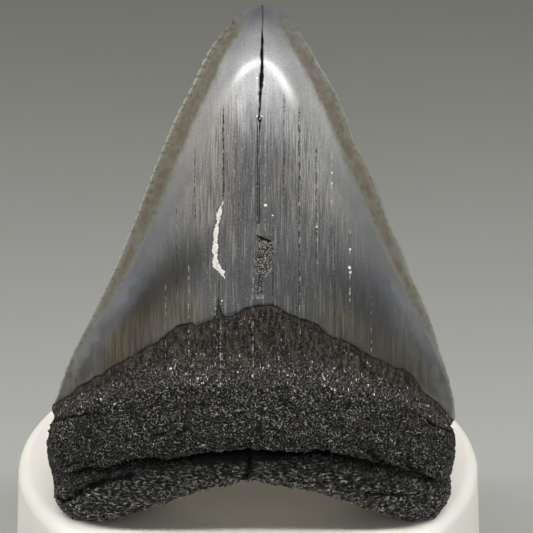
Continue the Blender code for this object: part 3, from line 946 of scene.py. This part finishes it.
# %% Helpers for the materials
def effect(name, place, *values):
    """Put a node group into the place's tree; the values fill its inputs in their order."""
    return add(place.tree, "ShaderNodeGroup", dict(enumerate((place, *values))),
               node_tree=GROUPS[name])


def mottle(place, size, low, high):
    return effect("mottle", place, size, low, high)


def streaks(place, width, length, low, high):
    return effect("streaks", place, width, length, low, high)


def mix(share, first, second):
    """A colour, first where share is 0 and second where it is 1."""
    first, second = ((*c, 1.0) if isinstance(c, tuple) else c for c in (first, second))
    return add(share.tree, "ShaderNodeMix", {0: share, 6: first, 7: second}, 2,
               data_type="RGBA", clamp_factor=True)


def blend(share, first, second):
    """The same for a number."""
    return add(share.tree, "ShaderNodeMix", {0: share, 2: first, 3: second},
               data_type="FLOAT", clamp_factor=True)


def new_material(name, ior):
    """A material, its shader, and a function that reads the mesh's facts in its tree."""
    material = bpy.data.materials.new(name)
    material.use_nodes = True
    shader = material.node_tree.nodes["Principled BSDF"]
    shader.inputs["IOR"].default_value = ior
    shader.inputs["Coat Roughness"].default_value = 0.1

    def fact(key, kind="Fac"):
        return add(material.node_tree, "ShaderNodeAttribute", out=kind, attribute_name=key)

    return material, shader, fact


def bump(height, strength, distance):
    return add(height.tree, "ShaderNodeBump",
               {"Height": height, "Strength": strength, "Distance": distance * MM})


def most(one, other):
    return calc("MAXIMUM", one, other)

# %% [markdown]
# ## The root's finish
#
# Fossil bone is nearly black, dull in its pores and sparkling where a grain has a flat face.
# The mesh already has the larger grains, and keeps their height in the attribute "grain", so
# the colour follows them with painted light and shade: painted shade between the grains and
# in the pits, pores, creases and groove, painted light on their tops, painted glints, and
# painted bounce light on the grains near the underside. The finest grit is a bump.

# %% The root's material
def root_material():
    material, shader, fact = new_material("fossil_root", 1.3)
    place = fact("place", "Vector")
    grit = effect("grit", place, 0.15, 0.5)
    slow = mottle(place, 2.2, 0.3, 0.7)
    warm = mottle(moved(place, 30.0, 0.0, 0.0), 1.2, 0.45, 0.7)
    sand = mottle(place, 0.145, 0.49, 0.61)
    layers = mottle(stretched(place, 0.42, 1.2, 1.0), 0.17, 0.49, 0.6)
    growth = fact("growth")
    sand = blend(growth.step(0.42, 0.3), sand, layers)
    clumps = mottle(place, 0.6, 0.36, 0.6)
    grain = fact("grain").step(0.05, 0.8, 0.35, 1.0)
    colour = mix(warm, (0.0045, 0.0042, 0.004), (0.009, 0.0072, 0.0055))
    # painted light on the tops of the grains
    lit = (sand * grain) * clumps.scaled(0.65, 0.35)
    lit = lit * growth.step(1.0, 0.93, 0.8, 1.0)
    bright = mix(slow, (0.32, 0.308, 0.28), (0.52, 0.505, 0.46))
    # painted bounce light: the grains near the underside are paler, as if lit from the white
    # stand
    bright = mix(growth.step(0.4, 0.1), bright, (0.85, 0.82, 0.76))
    colour = mix(lit, colour, bright)
    # painted glints: small pale specks on the grains
    painted_glint = mottle(moved(place, 9.0, 4.0, 0.0), 0.13, 0.62, 0.7)
    colour = mix(painted_glint * grain, colour, (0.5, 0.49, 0.46))
    # painted shade: pits, pores, creases and the groove floor are made nearly black
    dark = most(most(fact("pits") * 0.9, grit.beside("Pore")), fact("hollow_painted_shade"))
    colour = mix(dark * 0.93, colour, (0.0025, 0.0025, 0.0025))
    connect(shader, {"Base Color": colour,
                     "Roughness": blend(most(dark, blend(lit, 0.45, 0.0)), 0.34, 0.9),
                     "Normal": bump(grit, 1.0, 0.12)})
    return material

# %% [markdown]
# ## The crown's finish
#
# Enamel is hard and glassy, and this one has turned silver-grey with darker streaks that run
# down the tooth; its brightest silver, below the tip and on the flanks, is partly painted
# sheen. It darkens to olive at the cutting edges, and painted sheen lies in pale bands low on
# both sides.
# Under the jagged line is the collar, nearly black, wrinkled and a little glossy. One material
# holds both, divided by the attribute "foot", a height in mm that changes evenly over the
# surface, so the line stays sharp however close the camera comes.

# %% The crown's lines and chips
DARK_LINES = (  # (across, bottom, top, width, wander, lean, broken)
    (0.83, 23, 32.5, 0.06, 0.05, 0, 0.2), (-1.88, 25.2, 33, 0.07, 0.06, 0, 0.3),
    (-4.14, 23, 29.5, 0.045, 0.08, 0, 0.4), (4.1, 16.5, 33, 0.055, 0.06, 0, 0.38),
    (5.45, 20, 30, 0.05, 0.06, 0, 0.42), (2.02, 16.8, 22.3, 0.05, 0.05, 0, 0.35),
    (-2.35, 16.3, 19.8, 0.07, 0.06, 0.05, 0.3), (2.9, 24, 34, 0.04, 0.06, 0, 0.42),
    (-0.65, 19, 27, 0.035, 0.06, 0, 0.45), (6.9, 15, 23, 0.04, 0.06, 0, 0.45),
    (-3.1, 17, 24, 0.04, 0.06, 0, 0.45), (-5.6, 17, 25, 0.035, 0.08, 0, 0.45))
PALE_LINES = (
    (1.43, 19.5, 31, 0.043, 0.05, 0, 0.5), (4.16, 14, 30, 0.043, 0.06, 0, 0.5),
    (5.52, 20, 27.5, 0.056, 0.06, 0, 0.5), (6.68, 23, 29.8, 0.062, 0.05, 0, 0.49),
    (8.13, 15.5, 23.2, 0.074, 0.05, 0, 0.5), (0.46, 9.5, 20, 0.05, 0.05, 0, 0.45),
    (-4.62, 12.5, 21, 0.05, 0.06, 0, 0.49), (-6.48, 12.5, 19.5, 0.043, 0.06, 0, 0.5),
    (-2.1, 9.5, 16, 0.056, 0.06, 0, 0.46), (9.85, 12.5, 18, 0.037, 0.05, 0, 0.52),
    (2.5, 10, 15.5, 0.043, 0.08, 0, 0.5), (-1, 24, 31, 0.037, 0.05, 0, 0.5),
    (6, 9, 13.5, 0.05, 0.08, 0, 0.5), (-5.4, 8.6, 12, 0.056, 0.08, 0, 0.48))
CREAM_PATH = ((19.3, -1.72), (19.95, -2.1), (20.5, -2.48), (21.9, -2.52), (23.8, -2.3),
              (25.4, -1.83))        # (up, across) of a crack filled with pale mud
CREAM_WIDTH = ((19.3, 0.04), (19.7, 0.15), (20.3, 0.29), (21, 0.16), (21.6, 0.24),
               (22.3, 0.14), (22.9, 0.21), (23.6, 0.11), (24.3, 0.2), (24.9, 0.08), (25.5, 0.02))
CHIPS = ((1.43, 25.2, 0.08), (2.02, 24.35, 0.03), (8.13, 21.25, 0.07), (8.1, 19.85, 0.09),
         (8.16, 19.5, 0.07), (6.68, 26.5, 0.04), (6.7, 27.3, 0.03), (-4.6, 18.3, 0.02),
         (5.5, 23.3, 0.04), (5.55, 22.9, 0.02), (-2, 17.6, 0.03), (0.78, 35, 0.06),
         (1.3, 34.6, 0.05), (0.82, 32.1, 0.06), (1, 31.85, 0.06), (1.18, 32.1, 0.05))


def line_set(place, lines, on_front):
    drawn = effect("hairline", place, *lines[0])
    for line in lines[1:]:
        drawn = most(drawn, effect("hairline", place, *line))
    return drawn * on_front


def chip_set(across, up, ragged, on_front):
    """The small chips, with ragged edges."""
    drawn = None
    for middle, height, radius in CHIPS:
        aside, rise = across - middle, up - height
        away = ragged.scaled(0.12, calc("SQRT", aside * aside + rise * rise))
        chip = away.step(radius + 0.11, radius + 0.05)
        drawn = chip if drawn is None else most(drawn, chip)
    return drawn * on_front

# %% [markdown]
# ## The enamel's colours
#
# The colours are laid over each other as thin coats of paint would be: each `mix` puts one
# tint on, where its share is above 0. The shares come from how high and how far across a
# place is, how far it is from the cutting edge and how high above the enamel's foot.

# %% The enamel's colours
OLIVE_WIDTH = ((8, 0.25), (12, 0.6), (17, 1.25), (22, 1.55), (28, 1.6), (34, 1.5), (36.5, 1.35),
               (38.5, 1.1), (39.6, 0.6), (40.5, 0.2))       # (up, mm from the cutting edge)
PAINTED_SHEEN_WIDTH = ((8, 1.3), (12, 1.7), (17, 2.5), (24, 3.3), (31, 3.5))
# paths of the two legs of the painted highlight, (up, across) in mm
LEFT_LEG = ((31, -2.95), (32.1, -2.5), (33.87, -1.75), (35.25, -0.59), (35.95, 0.22), (36.4, 1))
RIGHT_LEG = ((31.5, 4.1), (33.1, 3.65), (34.1, 3.25), (35.25, 2.6), (36.2, 1.67), (36.4, 1.2))


def enamel_colour(place, across, up, rim, foot, side, fact):
    """Colour, share of metal lustre, the olive band, and the striations and their share."""
    fine = streaks(place, 0.085, 2.6, 0.4, 0.64)
    broad = streaks(place, 0.5, 6.0, 0.35, 0.65)
    cloudy = mottle(place, 1.1, 0.35, 0.65)
    drift = mottle(moved(place, 5.0, 70.0, 0.0), 4.0, 0.35, 0.65)
    striped = up.step(36.5, 29.5, 0.12, 1.0) * up.step(17.5, 25.5, 0.65, 1.0)
    striped = striped * abs(side).step(0.75, 0.4).scaled(0.75, 0.25)
    # blue-grey below, silver above, brightest below the tip partly as painted sheen, tan on the
    # left, darker in the middle
    colour = mix(up.step(18.0, 26.0), (0.125, 0.132, 0.145), (0.29, 0.288, 0.28))
    colour = mix(up.step(26.0, 34.5), colour, (0.50, 0.50, 0.505))
    colour = mix(up.step(35.5, 38.0), colour, (0.29, 0.292, 0.298))
    left_tan = (across.step(0.5, -3.0) * up.step(21.0, 27.0)) * up.step(35.0, 31.0)
    colour = mix(left_tan * 0.6, colour, (0.37, 0.34, 0.295))
    colour = mix(broad * (striped * 0.45), colour, (0.12, 0.122, 0.13))
    # painted sheen: paler flanks
    painted_flank_sheen = abs(across - 1.2).step(1.6, 3.4) * (up.step(22.5, 27.0) * up.step(36.0, 32.5))
    colour = mix(painted_flank_sheen * 0.28, colour, (0.52, 0.51, 0.48))
    centre = abs(across - 1.0).step(3.4, 1.2) * up.step(32.0, 29.0)
    colour = mix(centre * 0.5, colour, (0.13, 0.135, 0.148))
    # striations, specks and dust
    tan = streaks(moved(place, 60.0, 0.0, 0.0), 0.13, 3.2, 0.53, 0.66)
    colour = mix(tan * (striped * 0.7), colour, (0.46, 0.42, 0.36))
    colour = mix(fine * (striped * 0.62), colour, (0.05, 0.047, 0.045))
    speck = mottle(moved(place, 0.0, 8.0, 3.0), 0.12, 0.5, 0.64)
    colour = mix(speck * 0.32, colour, (0.07, 0.066, 0.062))
    dust = mottle(place, 0.1, 0.6, 0.68)
    colour = mix(dust * (striped * 0.75), colour, (0.6, 0.57, 0.52))
    # the dark olive band inside each silver band, and the brown stain above the foot
    inner = cloudy.scaled(0.35, drift.scaled(0.4, rim))
    dark = (inner.step(2.9, 4.3) * inner.step(9.0, 6.0)) * foot.step(8.0, 4.0)
    dark = dark * across.step(-1.0, 3.0, 1.0, 0.55)
    colour = mix(dark * 0.88, colour, (0.05, 0.047, 0.038))
    thin = streaks(place, 0.12, 3.0, 0.4, 0.6)
    brown = mix(thin, (0.115, 0.098, 0.06), (0.045, 0.037, 0.022))
    stained = foot.step(4.2, 1.2) * abs(side).step(0.12, 0.4)
    stained = stained * drift.scaled(0.4, 0.6)
    colour = mix(stained * 0.85, colour, brown)
    # painted sheen: silver bands low along both sides
    painted_sheen_band = (inner - lookup(up, PAINTED_SHEEN_WIDTH)).step(0.5, -0.4) * up.step(31.0, 24.0)
    painted_sheen_band = painted_sheen_band * up.step(8.0, 14.0, 0.5, 1.0)
    colour = mix(painted_sheen_band * 0.75, colour,
                 mix(drift, (0.215, 0.222, 0.226), (0.165, 0.17, 0.168)))
    smudge = mottle(place, 1.8, 0.35, 0.75) * up.step(15.0, 10.5)
    colour = mix(smudge * 0.7, colour, (0.06, 0.055, 0.045))
    # the olive band along the cutting edges
    wide = lookup(up, OLIVE_WIDTH)
    band = (cloudy.scaled(0.12, rim) - wide).step(up.step(12.0, 22.0, 0.12, 0.3),
                                                  up.step(12.0, 22.0, -0.12, -0.28))
    core = rim.step(0.25, 0.6) * (wide - rim).step(0.05, 0.5)
    olive = mix(mottle(place, 0.45, 0.4, 0.7), (0.15, 0.145, 0.112), (0.07, 0.062, 0.043))
    olive = mix(drift * up.step(31.0, 22.0, 0.15, 0.8), olive, (0.175, 0.178, 0.152))
    olive = mix(core * cloudy.scaled(0.6, 0.3), olive, (0.098, 0.076, 0.045))
    colour = mix(band * 0.93, colour, olive)
    # a painted highlight along the arch round the tip, the tip itself darker
    left_leg, right_leg = lookup(up, LEFT_LEG), lookup(up, RIGHT_LEG)
    near_leg = calc("MINIMUM", abs(across - left_leg), abs(across - right_leg))
    wear_and_painted_highlight = near_leg.step(0.7, 0.0) * (up.step(31.3, 33.6) * up.step(36.8, 36.0))
    colour = mix((wear_and_painted_highlight * fact("front")) * 0.3, colour, (0.82, 0.79, 0.75))
    colour = mix(up.step(37.8, 40.0) * 0.85, colour, (0.1, 0.103, 0.11))
    # the serrations: pale beads, and painted shade in the notches between them
    beads = (rim.step(0.22, 0.05) * side.step(0.0, 0.3, 0.85, 0.35)) * up.step(39.0, 36.0)
    colour = mix(beads, colour, (0.38, 0.37, 0.335))
    colour = mix(fact("notch").step(0.15, 0.6, 0.0, 0.65), colour, (0.05, 0.042, 0.03))
    metallic = up.step(33.5, 37.5, 0.8, 0.5)
    lustre = blend(band, metallic, 0.0) * stained.step(0.0, 1.0, 1.0, 0.35)
    return colour, lustre, band, fine * striped, striped

# %% The crown's material
def crown_material():
    material, shader, fact = new_material("fossil_crown", 1.3)
    place = fact("place", "Vector")
    across, up, _ = split(place)
    rim, foot, side, front = fact("rim"), fact("foot"), fact("side"), fact("front")
    ragged = mottle(place, 0.25, 0.2, 0.8)
    foot = ragged.scaled(0.14, foot - 0.07)
    enamel = foot.step(-0.03, 0.05)
    colour, lustre, band, stripes, striped = enamel_colour(
        place, across, up, rim, foot, side, fact)

    # the long cracks, and the one that is filled with pale mud
    dark_lines = line_set(place, DARK_LINES, front)
    colour = mix(dark_lines, colour, (0.02, 0.017, 0.015))
    pale_lines = line_set(place, PALE_LINES, front)
    shaky = ragged.scaled(0.22, across - 0.11)
    from_cream = abs(shaky - lookup(up, CREAM_PATH)) - lookup(up, CREAM_WIDTH)
    within = (up.step(19.25, 19.4) * up.step(25.5, 25.3)) * front
    cream_edge = within * from_cream.step(0.13, 0.05)
    colour = mix(cream_edge * 0.8, colour, (0.06, 0.045, 0.03))
    mud = mix(ragged, (0.85, 0.83, 0.77), (0.5, 0.45, 0.37))
    colour = mix(within * from_cream.step(0.03, -0.03), colour, mud)

    # the chipped patch, with a painted shadow along its upper step
    grit = effect("grit", place, 0.11, 0.45)
    patch = fact("patch")
    sandy = mix(grit.step(0.45, 1.2), (0.035, 0.031, 0.027), (0.29, 0.27, 0.24))
    colour = mix(patch.step(0.3, 0.7), colour, sandy)
    painted_shadow_under_step = ragged.scaled(0.12, across.scaled(0.45, up - 23.12) - 0.06)
    painted_shadow_under_step = abs(painted_shadow_under_step).step(0.13, 0.07) * abs(across - 1.32).step(0.62, 0.5)
    colour = mix(painted_shadow_under_step * front, colour, (0.006, 0.005, 0.005))

    # the open crack with its bright, crumbling lips
    crack, lips = fact("crack").step(0.35, 0.8), fact("crack").step(0.02, 0.25)
    chipped = up.step(31.3, 31.8) * up.step(35.9, 35.4)
    colour = mix((lips * chipped) * ragged, colour, (0.8, 0.78, 0.72))
    colour = mix(crack, colour, (0.008, 0.0075, 0.0075))

    # the collar under the enamel: wrinkled, nearly black, with pale flecks, partly their own
    # colour and partly painted glints
    wrinkle = streaks(place, 0.22, 0.9, 0.42, 0.64)
    flecks = streaks(moved(place, 0.0, 0.0, 20.0), 0.13, 0.3, 0.6, 0.68)
    sparse = mottle(place, 0.9, 0.4, 0.62)
    wet = mottle(place, 0.3, 0.55, 0.62)
    lower = fact("growth").step(1.6, 1.12)
    collar = mix(wrinkle, (0.002, 0.0018, 0.0015), (0.048, 0.037, 0.025))
    collar = mix(lower * 0.8, collar, (0.006, 0.0055, 0.005))
    painted_glint_flecks = (flecks * sparse) * lower.scaled(0.7, 0.3)
    painted_glint_flecks = calc("MINIMUM", painted_glint_flecks * 1.6, 1.0)
    collar = mix(painted_glint_flecks, collar, (0.7, 0.66, 0.62))
    sand = mottle(place, 0.145, 0.49, 0.61)
    collar = mix(sand * lower.scaled(0.22, 0.1), collar, (0.34, 0.32, 0.29))
    collar = mix(pale_lines * 0.7, collar, (0.5, 0.47, 0.44))
    rim_line = foot.step(-0.14, -0.05) * foot.step(0.08, 0.0)
    second = abs(foot + 0.5).step(0.07, 0.02)
    collar = mix(foot.step(-0.5, -0.4, 0.0, 0.4), collar, (0.03, 0.026, 0.02))
    collar = mix(most(rim_line, second * ragged), collar, (0.003, 0.003, 0.003))
    colour = mix(pale_lines * 0.6, colour, (0.50, 0.46, 0.40))
    chips = chip_set(across, up, ragged, front)
    colour = mix(chips, colour, (0.78, 0.76, 0.71))
    colour = mix(enamel, collar, colour)

    marks = most(most(dark_lines, pale_lines), most(most(patch, cream_edge), most(chips, crack)))
    shine = blend(marks, blend(band, stripes.scaled(0.1, 0.285), 0.5), 0.75)
    dull = blend(painted_glint_flecks, blend(wet, 0.5, 0.29), 0.3)
    roughness = blend(enamel, dull, shine)
    metal = (enamel * lustre) * (1.0 - marks)

    ridges = streaks(place, 0.14, 4.0, 0.2, 0.8)
    height = ridges.scaled(striped, stripes * -0.5) - dark_lines * 1.8
    height = blend(patch, height, grit * 3.0)
    height = blend(enamel, grit.scaled(2.0, wrinkle * 4.5), height)
    connect(shader, {"Base Color": colour, "Roughness": roughness, "Metallic": metal,
                     "Normal": bump(height, 0.6, 0.025)})
    return material

# %% Dress the root and the crown
CRUST = crust_tree()
CRUST_SIZES = {"Lump Size": 0.8, "Lump Height": 0.3, "Grain Size": 0.27, "Grain Height": 0.16,
               "Pit Size": 0.4, "Pit Depth": 0.2, "Wrinkle Width": 0.4, "Wrinkle Height": 0.22,
               "Lowest": STAND_TOP, "Seed": 3.0}
finish_with(root, CRUST, CRUST_SIZES, root_material())
CROWN_FINISH = crown_material()
finish_with(crown, serration_tree(), {"Count": float(SERRATIONS), "Depth": 0.17, "Notch": 0.17,
                                      "Unevenness": 0.5}, CROWN_FINISH)
finish_with(crown, CRUST, CRUST_SIZES, CROWN_FINISH)

# %% [markdown]
# ## The stand
#
# The stand is a plain drum of white plastic, a little wider at its foot, with a soft rounded
# rim. A half section turned about the vertical axis gives it. It has 192 steps, so the round
# edge stays round in a close view, and its flat faces end in rings that meet at a middle point.

# %% The stand's mesh
STAND_RADIUS, STAND_DRAFT, STAND_RIM, STAND_FOOT = 19.0, math.radians(2.5), 1.1, 0.5
STAND_STEPS, RIM_STEPS = 192, 12

def stand_section():
    """(radius, height) in mm from the middle of the top, over the rim, down to the base."""
    section = [(3.0, STAND_TOP), (10.0, STAND_TOP), (16.0, STAND_TOP)]
    for k in range(RIM_STEPS + 1):
        turn = math.radians(90.0) * k / RIM_STEPS
        section.append((STAND_RADIUS - STAND_RIM * (1.0 - math.sin(turn)),
                        STAND_TOP - STAND_RIM * (1.0 - math.cos(turn))))
    base = STAND_RADIUS + (STAND_TOP - STAND_RIM) * math.tan(STAND_DRAFT)
    for share in (0.25, 0.5, 0.75):
        section.append((STAND_RADIUS + (base - STAND_RADIUS) * share,
                        STAND_TOP - STAND_RIM - (STAND_TOP - STAND_RIM - STAND_FOOT) * share))
    for k in range(5):
        turn = math.radians(90.0) * k / 4.0
        section.append((base - STAND_FOOT * (1.0 - math.cos(turn)),
                        STAND_FOOT * (1.0 - math.sin(turn))))
    return section + [(12.0, 0.0), (4.0, 0.0)]


DISC_SIZE, DISC_MIDDLES, DISC_HEIGHT, WALL_HIGH = 0.23, (0.25, 0.75), 0.72, 0.42    # on the map

def stand_object():
    section = stand_section()
    turns = np.linspace(0.0, math.tau, STAND_STEPS, endpoint=False)
    points = [(radius * math.cos(a), radius * math.sin(a), height)
              for radius, height in section for a in turns]
    lengths = np.concatenate(([0.0], np.cumsum(np.hypot(*np.diff(np.array(section), axis=0).T))))
    first, last = 3, len(section) - 3       # the rows of the wall
    faces, uvs = [], []

    def on_wall(row, k):
        """The wall is a strip along the bottom of the map; the two flat faces are discs."""
        share = (lengths[row] - lengths[first]) / (lengths[last] - lengths[first])
        return (k / STAND_STEPS, WALL_HIGH * (1.0 - share))

    def on_disc(row, k, middle):
        reach, angle = DISC_SIZE * section[row][0] / STAND_RADIUS, math.tau * k / STAND_STEPS
        return (middle + reach * math.cos(angle), DISC_HEIGHT + reach * math.sin(angle))

    for row in range(len(section) - 1):
        for k in range(STAND_STEPS):
            faces.append([r * STAND_STEPS + turn % STAND_STEPS for r, turn in (
                (row, k), (row + 1, k), (row + 1, k + 1), (row, k + 1))])
            for corner in ((row, k), (row + 1, k), (row + 1, k + 1), (row, k + 1)):
                uvs.append(on_wall(*corner) if first <= row < last else
                           on_disc(*corner, DISC_MIDDLES[row >= last]))
    for row, middle in ((0, DISC_MIDDLES[0]), (len(section) - 1, DISC_MIDDLES[1])):
        points.append((0.0, 0.0, section[row][1]))
        for k in range(STAND_STEPS):
            ends = (k + 1, k) if row else (k, k + 1)
            faces.append([len(points) - 1, *(row * STAND_STEPS + turn % STAND_STEPS
                                             for turn in ends)])
            uvs += [(middle, DISC_HEIGHT), *(on_disc(row, turn, middle) for turn in ends)]
    return new_mesh("stand_drum", np.array(points) * MM, faces, uvs)

stand = stand_object()

# %% [markdown]
# ## The stand's finish and the floor
#
# Moulded plastic isn't perfectly even: its colour drifts a little, and a fine orange-peel
# texture softens its reflections. The floor is only the stage, and its colour darkens to the
# back as painted shade.

# %% The stand's material
def in_mm(material):
    """The place in the part's frame, in millimetres."""
    place = add(material.node_tree, "ShaderNodeTexCoord", out="Object")
    return scale(place, 1.0 / MM)


def stand_material():
    material, shader, _ = new_material("white_stand", 1.48)
    place = in_mm(material)
    slow = mottle(place, 9.0, 0.3, 0.7)
    fine = mottle(place, 0.5, 0.3, 0.7)
    dust = mottle(place, 0.28, 0.70, 0.78)
    colour = mix(slow, (0.83, 0.80, 0.735), (0.85, 0.83, 0.775))
    colour = mix(dust * 0.25, colour, (0.55, 0.53, 0.48))
    connect(shader, {"Base Color": colour, "Roughness": blend(fine, 0.42, 0.52),
                     "Normal": bump(fine, 0.25, 0.012)})
    return material

stand.data.materials.append(stand_material())

# %% The floor
FLOOR_REACH = 1.5       # metres, to each side

def floor_object():
    corners = [(x * FLOOR_REACH, y * FLOOR_REACH, 0.0)
               for x, y in ((-1, -1), (1, -1), (1, 1), (-1, 1))]
    mesh = bpy.data.meshes.new("floor")
    mesh.from_pydata(corners, [], [(0, 1, 2, 3)])
    floor = link("floor", mesh)
    material, shader, _ = new_material("pale_floor", 1.45)
    place = in_mm(material)
    slow = mottle(place, 60.0, 0.3, 0.7)
    back = split(place)[1]
    # painted shade: the floor's colour darkens towards the back
    far = slow.scaled(0.05, back.step(-20.0, 190.0))
    connect(shader, {"Base Color": mix(far, (0.42, 0.43, 0.415), (0.195, 0.203, 0.192)),
                     "Roughness": 0.8})
    mesh.materials.append(material)
    return floor

floor = floor_object()

# %% [markdown]
# ## Camera and lights
#
# A long lens looks down on the tooth from in front. A long, narrow, soft light hangs above and
# a little in front. The bright cards in front of the tooth only show as reflections: the
# enamel's steep lower part mirrors the dark room between them, and its upper part, which leans
# back, mirrors the cards.

# %% Camera
TARGET = Vector((1.526, 0.0, 33.69))
DISTANCE, ELEVATION, LENS = 320.0, math.radians(27.0), 267.85

def camera_object():
    lens = bpy.data.cameras.new("camera")
    lens.sensor_width, lens.lens = 36.0, LENS
    lens.clip_start, lens.clip_end = 0.01, 10.0
    camera = link("camera", lens)
    towards = Vector((0.0, -math.cos(ELEVATION), math.sin(ELEVATION)))
    camera.location = (TARGET + towards * DISTANCE) * MM
    camera.rotation_euler = towards.to_track_quat("Z", "Y").to_euler()
    bpy.context.scene.camera = camera

camera_object()

# %% Lights
MIDDLE, WHITE, WARM = (0, -10, 40), (1.0, 1.0, 1.0), (1.0, 0.90, 0.70)
SOFT_LIGHTS = (     # name, place, aim, size, radiance, and whether it lights or is mirrored
    ("key", (0, -45, 170), (0, -41, 0), (900, 27), 14.5, "lights"),
    ("panel", (0, -262, 245), MIDDLE, (700, 100), 0.25, "both"),
    ("card", (0, -232, 245), MIDDLE, (760, 52), 4.6, "mirrored"),
    ("low_card", (0, -325, 245), MIDDLE, (1000, 84), 1.1, "mirrored"),
    ("high_card", (0, -178, 330), MIDDLE, (1300, 120), 0.42, "mirrored"),
    ("ceiling", (0, -90, 400), (0, -60, 0), (900, 200), 0.15, "both"),
    ("wall", (0, -500, 180), (0, 0, 40), (1400, 230), 0.38, "both"),
    ("wall_card", (0, -500, 180), (0, 0, 40), (1400, 230), 0.28, "mirrored"),
    ("left", (-420, -60, 130), (0, -20, 40), (260, 160), 0.9, "both"),
    ("right", (420, -60, 130), (0, -20, 40), (260, 160), 0.9, "both"),
    ("back", (0, 400, 120), (0, 0, 20), (900, 200), 1.2, "both"))

for name, place, aim, size, radiance, role in SOFT_LIGHTS:
    light = bpy.data.lights.new(name, "AREA")
    light.shape = "RECTANGLE"
    light.size, light.size_y = size[0] * MM, size[1] * MM
    light.energy = radiance * math.pi * light.size * light.size_y
    light.color = WARM if name == "back" else WHITE
    lamp = link(name, light)
    lamp.location = Vector(place) * MM
    lamp.rotation_euler = (Vector(place) - Vector(aim)).to_track_quat("Z", "Y").to_euler()
    lamp.visible_glossy, lamp.visible_diffuse = role != "lights", role != "mirrored"

world = bpy.data.worlds.new("room")
world.use_nodes = True
background = world.node_tree.nodes["Background"]
connect(background, {"Color": (1.0, 0.97, 0.9, 1.0), "Strength": 0.05})
bpy.context.scene.world = world
bpy.context.scene.view_settings.view_transform = "Standard"
print("lights:", len(SOFT_LIGHTS))

# %% Hand the pieces to the frame
for piece, node_name, slot_name in ((root, "tooth", "fossil"), (crown, "tooth", "fossil"),
                                    (stand, "stand", "stand")):
    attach(piece, "root")
    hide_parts(node_name)
